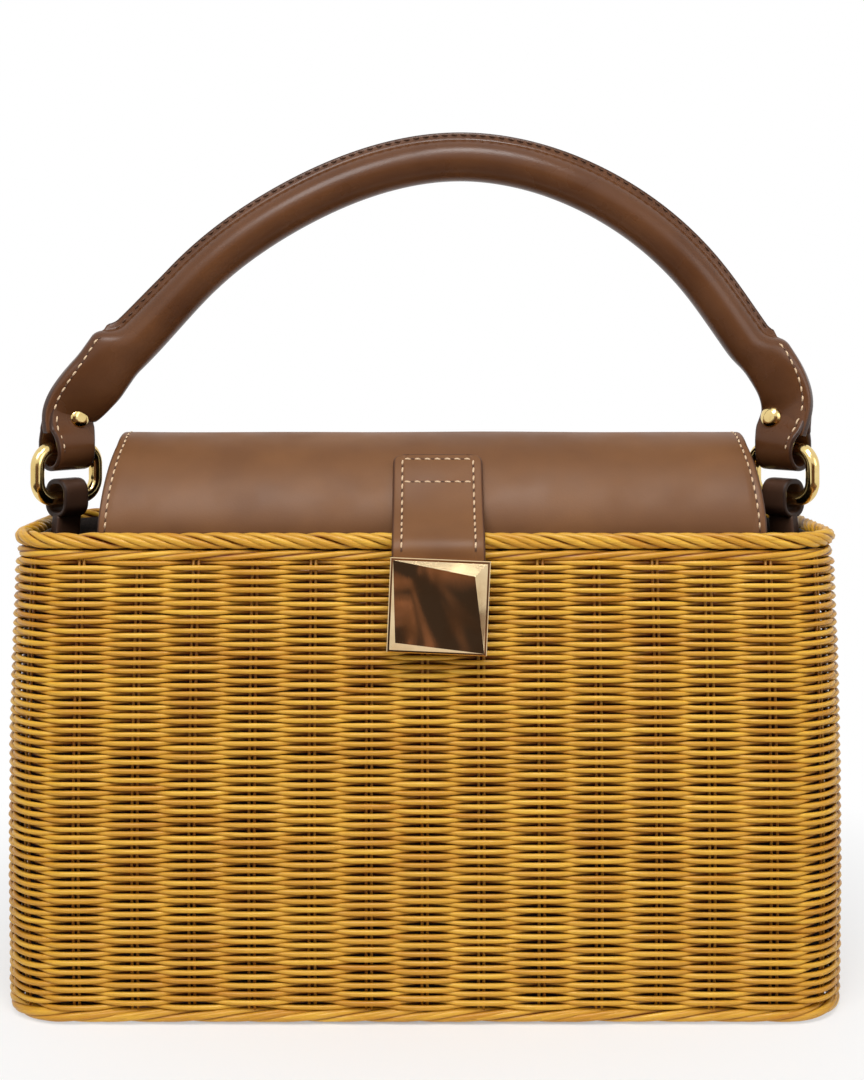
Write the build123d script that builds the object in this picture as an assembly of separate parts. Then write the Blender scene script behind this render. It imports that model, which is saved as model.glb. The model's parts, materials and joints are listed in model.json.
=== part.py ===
from build123d import *
import math
import os

os.makedirs("parts", exist_ok=True)

# Clearances
cloth_gap = 0.4
leather_gap = 0.15
hem_gap = 1.3
basket_gap = 0.3

# Basket: overall sizes are taken over the strands
base_width = 290.0
base_depth = 103.0
belly_swell = 0.5
belly_depth_swell = 3.0
rim_draw = 2.5
rim_depth_draw = 8.0
belly_width = base_width + belly_swell
belly_depth = base_depth + belly_depth_swell
rim_width = base_width - rim_draw
rim_depth = base_depth - rim_depth_draw
corner_radius = 21.0
basket_height = 165.0
belly_height_share = 0.36

# Weave: upright pairs, crossing rows and how far a strand stands out over an upright
column_count = 38
row_count = 44
strand_rise = 2.6
wall_thickness = 2.1
strand_flat_share = 0.30

# Twisted rolls at the rim and the foot, and the wale under the rim
rim_roll_radius = 2.9
rim_lobe_depth = 0.6
rim_turn_count = -70
wale_radius = 1.7
wale_lobe_depth = 0.35
wale_turn_count = 38
foot_roll_radius = 2.4
foot_lobe_depth = 0.5
foot_turn_count = 38
roll_rod_count = 3
roll_steps_per_turn = 3

# Woven base
base_thickness = 4.5
base_groove_count = 14
base_groove_width = 2.6
base_groove_depth = 1.8
base_groove_end = 12.0

# Lining
lining_thickness = 1.0
lining_top_drop = 3.0
lining_rim_inset = 1.4
lining_foot_inset = 1.2
lining_corner_radius = 30.0

# Flap
flap_side_gap = 30.25
flap_flare = 5.0
flap_width = rim_width - 2 * flap_side_gap
flap_front_width = flap_width + flap_flare
flap_thickness = 2.4
flap_shift = 2.5
flap_rise = 32.0
flap_tuck = 3.6
flap_front_inset = 11.5
flap_front_reach = rim_depth / 2 - flap_front_inset
flap_bend_reach = 14.0
flap_hem_depth = 32.0
flap_crown_pull_share = 0.50
flap_edge_pull_share = 0.42

# Closing strap and clasp
strap_width = 31.5
strap_thickness = 2.2
strap_start_reach = 21.0
strap_leave_reach = 29.0
strap_follow_shares = (0.0, 0.25, 0.5, 0.75, 1.0)
strap_rim_gap = 0.9
strap_stand_off = 3.2
closure_shift = 4.5
clasp_width = 33.5
clasp_height = 31.7
clasp_top_drop = 7.8
clasp_edge = 1.8
clasp_border = 1.6
clasp_rise = 5.2
clasp_tip = 1.2
clasp_apex_shares = (0.36, 0.33)
strap_end_margin = 3.0

# Magnetic snap behind the clasp
snap_radius = 8.5
snap_socket_thickness = 1.5
snap_disc_thickness = 0.8
snap_pin_radius = 2.2
snap_pin_length = 1.0
snap_hole_radius = 3.4
snap_gap = 0.3

# Rings
ring_inset = 11.75
ring_place = rim_width / 2 - ring_inset
ring_turn = 52.0
ring_rod_radius = 2.5
ring_width = 27.0
ring_height = 18.2
ring_corner_radius = 6.5
ring_lift = 7.9

# Leather loops that hold the rings to the side walls
chape_width = 11.0
chape_leather = 2.0
chape_eye_width = 8.0
chape_eye_height = 10.2
chape_eye_radius = 3.0
chape_stem_width = 10.2
chape_stem_thickness = 4.4
chape_tab_width = 20.0
chape_tab_thickness = 2.4
chape_tab_top_drop = 27.0
chape_tab_length = 16.0

# Handle
handle_inset = 16.5
handle_reach = ring_place - handle_inset
handle_spring_height = 60.5
handle_rise = 71.5
handle_tube_radius = 7.6
handle_leather = 2.0
seam_height = 2.8
seam_thickness = 3.6
seam_root = 1.2
tab_collar = 0.7
handle_route_shares = (
    (-0.95, 0.0),
    (-0.715, 0.405),
    (-0.44, 0.73),
    (0.11, 1.0),
    (0.64, 0.73),
    (0.87, 0.40),
    (1.05, 0.0),
)
core_end_share = 0.03
tab_width = 21.0
tab_thickness = 6.0
tab_edge_radius = 2.4
tab_turn = 38.0
tab_rise = 17.0
tab_lean = 3.5
tab_neck_width = 21.0
tab_neck_thickness = 10.5
tab_neck_radius = 4.6
tab_neck_drop = 9.0
tab_neck_shift = 2.5
tab_neck_turn = 14.0
tab_lap = 2.0
loop_width = 15.0
loop_leather = 2.0
loop_radius = 4.2
loop_slack = 2.0
loop_straight = 4.0
loop_rise = 11.0
loop_tip = 0.6
shoulder_rise = 10.0
shoulder_width = 17.0
shoulder_thickness = 5.2
shoulder_radius = 2.2
rivet_rise = 11.2
rivet_turn = 46.0
rivet_inset = 3.5
rivet_seat = 2.8
rivet_head_radius = 4.2
rivet_head_height = 2.0
rivet_shank_radius = 1.6
rivet_cap_radius = 3.4
rivet_cap_height = 0.9


def between(low, mid, high, share, mid_share):
    """Value on the parabola through low at 0, mid at mid_share and high at 1."""
    first = low * (share - mid_share) * (share - 1) / mid_share
    second = mid * share * (share - 1) / (mid_share * (mid_share - 1))
    third = high * share * (share - mid_share) / (1 - mid_share)
    return first + second + third


def wall_size(z):
    """Width and depth of the valley surface between the strands at a height."""
    share = z / basket_height
    width = between(base_width, belly_width, rim_width, share, belly_height_share)
    depth = between(base_depth, belly_depth, rim_depth, share, belly_height_share)
    return width - 2 * strand_rise, depth - 2 * strand_rise


def plan_point(width, depth, radius, share, offset):
    """Point and outward offset on a rounded rectangle, from the front middle round by the right."""
    flat_x = width - 2 * radius
    flat_y = depth - 2 * radius
    arc = math.pi * radius / 2
    run = (share % 1) * (2 * flat_x + 2 * flat_y + 4 * arc) + flat_x / 2
    turn = 0.0
    for flat in (flat_x, flat_y, flat_x, flat_y):
        if run <= flat:
            along, bend = run, 0.0
            break
        run -= flat
        if run <= arc:
            along, bend = flat, run / radius
            break
        run -= arc
        turn += math.pi / 2
    else:
        along, bend, turn = run, 0.0, 0.0
        flat = flat_x
    side = (flat_y if flat is flat_x or turn in (0.0, math.pi) else flat_x) / 2 + radius
    across = along - flat / 2
    centre = Vector(across, radius - side, 0)
    out = Vector(0, -1, 0).rotate(Axis.Z, math.degrees(bend))
    spot = centre + out * (radius + offset)
    return spot.rotate(Axis.Z, math.degrees(turn))


def wall_point(column, z, offset):
    width, depth = wall_size(z)
    spot = plan_point(width, depth, corner_radius, column / column_count, offset)
    return Vector(spot.X, spot.Y, z)


def facet(*points):
    return Face(Wire.make_polygon(points, close=True))


def closed_solid(faces):
    return Solid(Shell(faces))


# Woven wall: each strand that crosses over an upright is a long hipped ridge
rim_roll_z = basket_height - rim_roll_radius
wale_z = rim_roll_z - rim_roll_radius - basket_gap - wale_radius
wall_top = wale_z - wale_radius - basket_gap
wall_bottom = 2 * foot_roll_radius + basket_gap
row_pitch = (wall_top - wall_bottom) / row_count


def row_z(row):
    return wall_bottom + row * row_pitch


def woven_wall():
    faces = []
    for row in range(row_count + 1):
        for column in range(row % 2, column_count, 2):
            left = wall_point(column - 1, row_z(row), 0)
            right = wall_point(column + 1, row_z(row), 0)
            start = wall_point(column - strand_flat_share, row_z(row), strand_rise)
            end = wall_point(column + strand_flat_share, row_z(row), strand_rise)
            if row < row_count:
                peak = wall_point(column, row_z(row + 1), 0)
                faces += [facet(left, start, peak), facet(start, end, peak), facet(end, right, peak)]
            if row > 0:
                foot = wall_point(column, row_z(row - 1), 0)
                faces += [facet(start, left, foot), facet(end, start, foot), facet(right, end, foot)]
    for row in (0, row_count):
        outer = []
        for column in range(column_count):
            if (column + row) % 2:
                outer.append(wall_point(column, row_z(row), 0))
            else:
                outer.append(wall_point(column - strand_flat_share, row_z(row), strand_rise))
                outer.append(wall_point(column + strand_flat_share, row_z(row), strand_rise))
        inner = [wall_point(column, row_z(row), -wall_thickness) for column in range(column_count)]
        faces.append(Face(Wire.make_polygon(outer, close=True), [Wire.make_polygon(inner, close=True)]))
    for column in range(column_count):
        low = wall_point(column, wall_bottom, -wall_thickness)
        low_next = wall_point(column + 1, wall_bottom, -wall_thickness)
        high = wall_point(column, wall_top, -wall_thickness)
        high_next = wall_point(column + 1, wall_top, -wall_thickness)
        faces += [facet(low, low_next, high_next), facet(low, high_next, high)]
    return closed_solid(faces)


wall_middle = (strand_rise - wall_thickness) / 2


def twisted_roll(z, radius, lobe_depth, turn_count):
    """Roll of rods round the basket: its lobed section turns as it runs, one way or the other."""
    stations = abs(turn_count) * roll_steps_per_turn
    corners = 2 * roll_rod_count
    turn = 360 / roll_rod_count * turn_count / stations
    shift = round(turn * stations * corners / 360)
    width, depth = wall_size(z)
    rings = []
    for station in range(stations):
        ring = []
        for corner in range(corners):
            angle = math.radians(360 * corner / corners + turn * station)
            reach = radius - lobe_depth * (corner % 2)
            offset = wall_middle + reach * math.cos(angle)
            spot = plan_point(width, depth, corner_radius, station / stations, offset)
            ring.append(Vector(spot.X, spot.Y, z + reach * math.sin(angle)))
        rings.append(ring)
    rings.append([rings[0][(corner + shift) % corners] for corner in range(corners)])
    faces = []
    for ring, after in zip(rings, rings[1:]):
        for corner in range(corners):
            follow = (corner + 1) % corners
            faces.append(facet(ring[corner], after[corner], after[follow]))
            faces.append(facet(ring[corner], after[follow], ring[follow]))
    return closed_solid(faces)


basket_wall = woven_wall()
rim_border = twisted_roll(rim_roll_z, rim_roll_radius, rim_lobe_depth, rim_turn_count)
rim_wale = twisted_roll(wale_z, wale_radius, wale_lobe_depth, wale_turn_count)
foot_border = twisted_roll(foot_roll_radius, foot_roll_radius, foot_lobe_depth, foot_turn_count)


def plan_face(z, offset, radius):
    """Rounded rectangle that follows the basket's plan at a height."""
    width, depth = wall_size(z)
    return Pos(0, 0, z) * RectangleRounded(width + 2 * offset, depth + 2 * offset, radius)


# Woven base inside the foot roll, with the furrows between its rows on the underside
base_inset = wall_middle - foot_roll_radius - basket_gap
basket_base = extrude(plan_face(0, base_inset, corner_radius), base_thickness)
groove_length = base_width - 2 * base_groove_end
groove_pitch = (base_depth - 2 * base_groove_end) / (base_groove_count - 1)
groove = Box(groove_length, base_groove_width, 2 * base_groove_depth)
basket_base -= [
    Pos(0, (index - (base_groove_count - 1) / 2) * groove_pitch, 0) * groove
    for index in range(base_groove_count)
]

# Cloth lining: an open pouch that stands on the base
lining_top = basket_height - lining_top_drop
lining_foot_offset = -wall_thickness - cloth_gap - lining_foot_inset
lining_rim_offset = -wall_thickness - cloth_gap - lining_rim_inset


def pouch(inset):
    """Solid block of the pouch's shape, drawn in by an inset."""
    foot = plan_face(base_thickness, lining_foot_offset - inset, lining_corner_radius - inset)
    rim = plan_face(lining_top, lining_rim_offset - inset, lining_corner_radius - inset)
    return loft([foot, rim], ruled=True)


lining = pouch(0) - pouch(lining_thickness)
pouch_floor = plan_face(base_thickness, lining_foot_offset - lining_thickness / 2, lining_corner_radius)
lining += extrude(pouch_floor, lining_thickness)


def lining_inside(z):
    """Half width and half depth of the pouch's inside at a height."""
    share = (z - base_thickness) / (lining_top - base_thickness)
    low = wall_size(base_thickness)
    high = wall_size(lining_top)
    halves = []
    for near, far in zip(low, high):
        foot = near / 2 + lining_foot_offset - lining_thickness
        rim = far / 2 + lining_rim_offset - lining_thickness
        halves.append(foot + (rim - foot) * share)
    return halves


# Flap: one bent sheet from the hem inside the back wall over the crown to the tucked front edge
rim_width_line, rim_depth_line = wall_size(rim_roll_z)
roll_middle_y = rim_depth_line / 2 + wall_middle
flap_middle_rise = flap_rise - flap_thickness / 2
crown_z = basket_height + flap_middle_rise
front_edge_z = basket_height - flap_tuck
hem_y = lining_inside(lining_top)[1] - hem_gap - flap_thickness / 2
hem_top_z = basket_height - flap_tuck
hem_bottom_z = hem_top_z - flap_hem_depth


def in_section(y, z):
    return Vector(0, y, z)


flap_height = crown_z - front_edge_z


def dome_half(reach):
    """Half of the flap's arch, from the crown down to an edge at a distance from it."""
    return Bezier(
        in_section(0, crown_z),
        in_section(reach * flap_crown_pull_share, crown_z),
        in_section(reach, front_edge_z + flap_height * flap_edge_pull_share),
        in_section(reach, front_edge_z),
    )


front_dome = dome_half(-flap_front_reach)
flap_dome = dome_half(hem_y) + front_dome
flap_path = Line(in_section(hem_y, hem_bottom_z), in_section(hem_y, hem_top_z)) + flap_dome
flap_start = Plane(in_section(hem_y, hem_bottom_z), x_dir=(1, 0, 0), z_dir=(0, 0, 1))
flap = sweep(flap_start * Rectangle(flap_front_width, flap_thickness), path=flap_path)
half_back = flap_width / 2
half_front = flap_front_width / 2
flap_plan = Polygon(
    (-half_back, hem_y + flap_thickness),
    (-half_back, -flap_bend_reach),
    (-half_front, -flap_front_reach - flap_thickness),
    (half_front, -flap_front_reach - flap_thickness),
    (half_back, -flap_bend_reach),
    (half_back, hem_y + flap_thickness),
    align=None,
)
flap &= Pos(0, 0, hem_bottom_z) * extrude(flap_plan, crown_z)


def dome_at(reach):
    """Point and direction of the flap's middle line at a distance in front of the crown."""
    near, far = 0.0, 1.0
    for _ in range(40):
        middle = (near + far) / 2
        if -(front_dome @ middle).Y < reach:
            near = middle
        else:
            far = middle
    return front_dome @ near, front_dome % near


def dome_normal(reach):
    _, along = dome_at(reach)
    return Vector(0, along.Z, -along.Y)


bend_spot, bend_along = dome_at(flap_bend_reach)
bend_plane = Plane(bend_spot, x_dir=(1, 0, 0), z_dir=bend_along)
flap_halves = split(Pos(flap_shift, 0, 0) * flap, bisect_by=bend_plane, keep=Keep.BOTH).solids()
flap_front, flap_back = sorted(flap_halves, key=lambda half: half.center().Y)
bend_axis_spot = bend_spot + dome_normal(flap_bend_reach) * flap_thickness / 2

# Closing strap: lies on the flap, runs over the rim and hangs in front of the wall
strap_lift = (flap_thickness + strap_thickness) / 2 + leather_gap
strap_reaches = [
    strap_start_reach + (strap_leave_reach - strap_start_reach) * share for share in strap_follow_shares
]
strap_on_flap = [dome_at(reach)[0] + dome_normal(reach) * strap_lift for reach in strap_reaches]
clasp_top = basket_height - clasp_top_drop
clasp_z = clasp_top - clasp_height / 2
clasp_wall_y = -wall_size(clasp_z)[1] / 2 - strand_rise
strap_y = clasp_wall_y - strap_stand_off - strap_thickness / 2
strap_over = rim_roll_radius + strap_rim_gap + strap_thickness / 2
strap_bottom = clasp_top - clasp_height + strap_end_margin
strap_bend_z = (rim_roll_z + clasp_top) / 2
strap_curve = Spline(
    *strap_on_flap,
    in_section(-roll_middle_y, rim_roll_z + strap_over),
    in_section(strap_y, strap_bend_z),
    tangents=[dome_at(strap_start_reach)[1], in_section(0, -1)],
)
strap_path = strap_curve + Line(in_section(strap_y, strap_bend_z), in_section(strap_y, strap_bottom))
strap_plane = Plane(strap_on_flap[0], x_dir=(1, 0, 0), z_dir=strap_curve % 0)
closure_strap = sweep(strap_plane * Rectangle(strap_width, strap_thickness), path=strap_path)
closure_strap = Pos(closure_shift, 0, 0) * closure_strap

# Clasp plate: a low pyramid whose tip stands near its upper right corner
clasp_back_y = strap_y - strap_thickness / 2
clasp_front = Plane((closure_shift, clasp_back_y, clasp_z), x_dir=(1, 0, 0), z_dir=(0, -1, 0))
apex_x_share, apex_z_share = clasp_apex_shares
clasp_plate = extrude(clasp_front * Rectangle(clasp_width, clasp_height), clasp_edge)
pyramid_foot = Rectangle(clasp_width - 2 * clasp_border, clasp_height - 2 * clasp_border)
apex_place = Pos(clasp_width * apex_x_share, clasp_height * apex_z_share)
pyramid_tip = apex_place * Rectangle(clasp_tip, clasp_tip)
clasp_plate += loft(
    [
        clasp_front.offset(clasp_edge) * pyramid_foot,
        clasp_front.offset(clasp_edge + clasp_rise) * pyramid_tip,
    ],
    ruled=True,
)

# Magnetic snap: the socket sits on the wall, the stud on the back of the strap
strap_back_y = strap_y + strap_thickness / 2
stud_face_y = strap_back_y + snap_disc_thickness
socket_face_y = stud_face_y + snap_gap
snap_back = Plane((closure_shift, strap_back_y, clasp_z), x_dir=(1, 0, 0), z_dir=(0, 1, 0))
snap_stud = extrude(snap_back * Circle(snap_radius), snap_disc_thickness)
snap_stud += extrude(snap_back * Circle(snap_pin_radius), snap_disc_thickness + snap_gap + snap_pin_length)
socket_plane = Plane((closure_shift, socket_face_y, clasp_z), x_dir=(1, 0, 0), z_dir=(0, 1, 0))
snap_socket = extrude(socket_plane * (Circle(snap_radius) - Circle(snap_hole_radius)), snap_socket_thickness)

# Rings stand turned, the outer limb nearer the front
lower_bar_z = basket_height + ring_lift
upper_bar_z = lower_bar_z + ring_height
ring_middle_z = (lower_bar_z + upper_bar_z) / 2


def outward(side, turn):
    """Level direction along a ring's bar towards the outside and the front."""
    return Vector(side * math.cos(math.radians(turn)), -math.sin(math.radians(turn)), 0)


def ring(side):
    """Round rod bent to a rounded rectangle: straight limbs joined by quarter bends."""
    across = outward(side, ring_turn)
    square = across.cross(Vector(0, 0, 1))
    plane = Plane((side * ring_place, 0, ring_middle_z), x_dir=across, z_dir=square)
    bend_x = ring_width / 2 - ring_corner_radius
    bend_y = ring_height / 2 - ring_corner_radius
    rod = Circle(ring_rod_radius)
    limb = Plane((bend_x + ring_corner_radius, -bend_y, 0), x_dir=(1, 0, 0), z_dir=(0, 1, 0)) * rod
    bar = Plane((-bend_x, bend_y + ring_corner_radius, 0), x_dir=(0, 1, 0), z_dir=(1, 0, 0)) * rod
    elbow = Plane((bend_x + ring_corner_radius, bend_y, 0), x_dir=(1, 0, 0), z_dir=(0, 1, 0)) * rod
    half = extrude(limb, 2 * bend_y) + extrude(bar, 2 * bend_x)
    half += revolve(elbow, Axis((bend_x, bend_y, 0), (0, 0, 1)), 90)
    half += mirror(revolve(elbow, Axis((bend_x, bend_y, 0), (0, 0, 1)), 90), Plane.YZ)
    whole = half + half.rotate(Axis.Z, 180)
    return plane * whole


def bar_plane(side, z):
    """Section across a bar: x is level, y is up and the normal runs along the bar."""
    along = outward(side, ring_turn)
    return Plane((side * ring_place, 0, z), x_dir=Vector(0, 0, 1).cross(along), z_dir=along)


def eye(side, z, width, height, radius, leather, length):
    outer = RectangleRounded(width + 2 * leather, height + 2 * leather, radius + leather)
    inner = RectangleRounded(width, height, radius)
    return extrude(bar_plane(side, z) * (outer - inner), length / 2, both=True)


def chape(side):
    """Leather loop round the lower bar, its tail turned flat against the side of the pouch."""
    loop = eye(
        side, lower_bar_z, chape_eye_width, chape_eye_height, chape_eye_radius, chape_leather, chape_width
    )
    stem_top = lower_bar_z - chape_eye_height / 2 - chape_leather / 2
    tab_top = basket_height - chape_tab_top_drop
    tab_x = lining_inside(tab_top)[0] - cloth_gap - chape_tab_thickness / 2
    upper = Plane((side * ring_place, 0, stem_top), x_dir=outward(side, ring_turn), z_dir=(0, 0, -1))
    lower = Plane((side * tab_x, 0, tab_top), x_dir=(0, -1, 0), z_dir=(0, 0, -1))
    stem = loft(
        [
            upper * Rectangle(chape_stem_width, chape_stem_thickness),
            lower * Rectangle(chape_tab_width, chape_tab_thickness),
        ],
        ruled=True,
    )
    tab_bottom = tab_top - chape_tab_length
    lean = lining_inside(tab_top)[0] - lining_inside(tab_bottom)[0]
    foot = Plane((side * (tab_x - lean), 0, tab_bottom), x_dir=(0, -1, 0), z_dir=(0, 0, -1))
    tail = loft(
        [
            lower * Rectangle(chape_tab_width, chape_tab_thickness),
            foot * Rectangle(chape_tab_width, chape_tab_thickness),
        ],
        ruled=True,
    )
    return loop + stem + tail


# Handle: a rolled arch with a stitched seam along its outer side
spring_z = basket_height + handle_spring_height
handle_route = Spline(
    *[
        (handle_reach * x_share, 0, spring_z + handle_rise * z_share)
        for x_share, z_share in handle_route_shares
    ]
)
route_plane = Plane(handle_route @ 0, x_dir=(0, 1, 0), z_dir=handle_route % 0)
seam_middle = handle_tube_radius + (seam_height - seam_root) / 2
seam_section = Pos(0, seam_middle) * Rectangle(seam_thickness, seam_height + seam_root)
tube_section = Circle(handle_tube_radius) + seam_section
tube = sweep(route_plane * tube_section, path=handle_route)
bore_radius = handle_tube_radius - handle_leather
tube -= sweep(route_plane * Circle(bore_radius), path=handle_route)
core_route = handle_route.trim(core_end_share, 1 - core_end_share)
core_plane = Plane(core_route @ 0, x_dir=(0, 1, 0), z_dir=core_route % 0)
handle_core = sweep(core_plane * Circle(bore_radius - leather_gap), path=core_route)
rivet_z = upper_bar_z + rivet_rise


def level(direction, along):
    """Direction turned square to the line that a section stands on."""
    return direction - along * direction.dot(along)


def fold(radius, rise, tip):
    """Section of leather folded round a bar: round below, straight at the sides and closing above."""
    sides = Polygon(
        (-radius, 0),
        (radius, 0),
        (radius, loop_straight),
        (tip, rise),
        (-tip, rise),
        (-radius, loop_straight),
        align=None,
    )
    return Circle(radius) + sides


def handle_loop(side):
    """End of the handle folded round the ring's upper bar."""
    outer = fold(loop_radius + loop_leather, loop_rise + 2 * loop_leather, shoulder_thickness / 2)
    inner = fold(loop_radius, loop_rise, loop_tip)
    return extrude(bar_plane(side, upper_bar_z - loop_slack) * (outer - inner), loop_width / 2, both=True)


def handle_end(side):
    """Flattened end of the handle: twists towards the ring and closes in a loop."""
    spring = handle_route @ 0 if side < 0 else handle_route @ 1
    along = handle_route % 0 * -1 if side < 0 else handle_route % 1
    across = level(outward(side, 0), along).normalized()
    neck_spot = spring + along * tab_neck_drop + across * tab_neck_shift
    tab_spot = Vector(side * (ring_place - tab_lean), 0, upper_bar_z + tab_rise)
    shoulder_spot = Vector(side * ring_place, 0, upper_bar_z + shoulder_rise)
    neck_along = (along + (tab_spot - neck_spot).normalized()).normalized()
    down = Vector(0, 0, -1)
    tab_along = (down + (shoulder_spot - neck_spot).normalized()).normalized()
    collar = handle_tube_radius + tab_collar
    stations = (
        (spring - along * tab_lap, along, 0.0, 2 * collar, 2 * collar, collar - leather_gap),
        (neck_spot, neck_along, tab_neck_turn, tab_neck_width, tab_neck_thickness, tab_neck_radius),
        (tab_spot, tab_along, tab_turn, tab_width, tab_thickness, tab_edge_radius),
        (shoulder_spot, down, ring_turn, shoulder_width, shoulder_thickness, shoulder_radius),
    )
    sections = []
    for spot, run, turn, width, thickness, radius in stations:
        x_dir = level(outward(side, turn), run)
        sections.append(Plane(spot, x_dir=x_dir, z_dir=run) * RectangleRounded(width, thickness, radius))
    return loft(sections) + handle_loop(side)


def rivet(side):
    """Domed rivet through the handle's end, its head towards the front."""
    facing = outward(-side, 90 - rivet_turn)
    spot = Vector(side * ring_place, 0, rivet_z) - outward(side, rivet_turn) * rivet_inset
    plane = Plane(spot, z_dir=facing)
    shank = extrude(plane.offset(-rivet_seat) * Circle(rivet_shank_radius), 2 * rivet_seat)
    head = loft(
        [
            plane.offset(rivet_seat) * Circle(rivet_head_radius),
            plane.offset(rivet_seat + rivet_head_height / 2) * Circle(rivet_head_radius * math.sqrt(3) / 2),
            plane.offset(rivet_seat + rivet_head_height) * Circle(rivet_shank_radius),
        ]
    )
    cap = extrude(plane.offset(-rivet_seat - rivet_cap_height) * Circle(rivet_cap_radius), rivet_cap_height)
    return shank + head + cap


left_rivet = rivet(-1)
right_rivet = rivet(1)
handle = tube + handle_end(-1) + handle_end(1) - left_rivet - right_rivet

pieces = {
    "basket_wall": basket_wall,
    "basket_base": basket_base,
    "rim_border": rim_border,
    "rim_wale": rim_wale,
    "foot_border": foot_border,
    "lining": lining,
    "flap_back": flap_back,
    "flap_front": flap_front,
    "closure_strap": closure_strap,
    "clasp_plate": clasp_plate,
    "snap_stud": snap_stud,
    "snap_socket": snap_socket,
    "left_ring": ring(-1),
    "right_ring": ring(1),
    "left_chape": chape(-1),
    "right_chape": chape(1),
    "handle": handle,
    "handle_core": handle_core,
    "left_rivet": left_rivet,
    "right_rivet": right_rivet,
}
for name, piece in pieces.items():
    export_step(piece, f"parts/{name}.step")
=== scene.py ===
# %% [markdown]
# # A wicker handbag with a leather flap
# The bag is a woven basket with a leather flap, a rolled leather handle on two gold rings and a
# faceted clasp. The CAD model gives every place and every joint. This lesson dresses it: real woven
# strands, leather with cut edges and stitches, polished metal and a soft studio.

# %% The frame
import json
import math
import bmesh
import bpy
import numpy as np
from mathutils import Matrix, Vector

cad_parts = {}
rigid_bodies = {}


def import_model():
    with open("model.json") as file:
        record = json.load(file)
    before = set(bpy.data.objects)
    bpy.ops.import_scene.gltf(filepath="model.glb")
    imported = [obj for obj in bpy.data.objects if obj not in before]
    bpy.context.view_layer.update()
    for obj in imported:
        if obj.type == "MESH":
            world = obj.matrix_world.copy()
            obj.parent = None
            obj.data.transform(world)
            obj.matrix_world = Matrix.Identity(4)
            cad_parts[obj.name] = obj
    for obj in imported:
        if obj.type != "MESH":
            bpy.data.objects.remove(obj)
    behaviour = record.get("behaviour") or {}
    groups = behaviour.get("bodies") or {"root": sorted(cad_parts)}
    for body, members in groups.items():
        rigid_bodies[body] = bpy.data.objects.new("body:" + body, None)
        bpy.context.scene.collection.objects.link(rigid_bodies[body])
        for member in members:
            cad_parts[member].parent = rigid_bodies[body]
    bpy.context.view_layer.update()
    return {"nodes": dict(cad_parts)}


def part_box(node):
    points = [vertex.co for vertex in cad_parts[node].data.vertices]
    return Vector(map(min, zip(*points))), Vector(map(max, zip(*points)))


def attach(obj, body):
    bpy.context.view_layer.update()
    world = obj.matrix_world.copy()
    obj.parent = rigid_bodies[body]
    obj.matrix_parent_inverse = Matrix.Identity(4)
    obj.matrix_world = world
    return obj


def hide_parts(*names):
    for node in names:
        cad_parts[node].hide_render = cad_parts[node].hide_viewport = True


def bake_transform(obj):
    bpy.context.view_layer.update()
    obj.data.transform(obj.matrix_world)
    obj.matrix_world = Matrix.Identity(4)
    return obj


for leftover in list(bpy.data.objects):
    bpy.data.objects.remove(leftover)
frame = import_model()
mm = 0.001
chance = np.random.default_rng(38)

# %% [markdown]
# ## The camera
# The photograph looks level at the bag from a little above the flap, so upright edges stay upright.
# A camera can be tilted down or shifted down. A shifted lens keeps the basket's sides parallel, as
# they are in the photograph, so the shift is used and the camera stays level.

# %% Camera at the photograph's place
photo_width = 864
focal_pixels = 1600
eye_place = (-0.0005, -0.590, 0.225)
horizon_row = 356
photo_height = 1080
lens = bpy.data.cameras.new("eye")
lens.sensor_fit = "HORIZONTAL"
lens.sensor_width = 36
lens.lens = focal_pixels / photo_width * lens.sensor_width
lens.shift_y = (horizon_row - photo_height / 2) / photo_width
lens.shift_x = 0.0097
lens.clip_start = 0.01
eye = bpy.data.objects.new("eye", lens)
bpy.context.scene.collection.objects.link(eye)
eye.location = eye_place
eye.rotation_euler = (math.radians(90), 0, 0)
bpy.context.scene.camera = eye
print("lens", round(lens.lens, 1), "mm, shift", round(lens.shift_y, 3))

# %% [markdown]
# ## The basket's shape
# A basket is woven round a plan that changes with height: here a rectangle with round corners that
# swells at the belly. Every strand needs a point on that wall, so one function gives the place for a
# share of the way round, a height and a distance outwards. The share is measured at the belly and
# each side is drawn in as a whole, so a column of the weave stays upright. The function takes whole
# arrays, because there are tens of thousands of points.

# %% Points on the wall
base_width, belly_width, rim_width = 290.0 * mm, 290.5 * mm, 287.5 * mm
base_depth, belly_depth, rim_depth = 103.0 * mm, 106.0 * mm, 95.0 * mm
corner_radius = 22.0 * mm
basket_height = 165.0 * mm
belly_share = 0.36
strand_rise = 1.7 * mm
belly_flats = [size - 2 * strand_rise - 2 * corner_radius for size in (belly_width, belly_depth)]
girth_length = 2 * sum(belly_flats) + 2 * math.pi * corner_radius


def swell(low, middle, high, share):
    """Parabola through the base, the belly and the rim."""
    first = low * (share - belly_share) * (share - 1) / belly_share
    second = middle * share * (share - 1) / (belly_share * (belly_share - 1))
    third = high * share * (share - belly_share) / (1 - belly_share)
    return first + second + third


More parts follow.
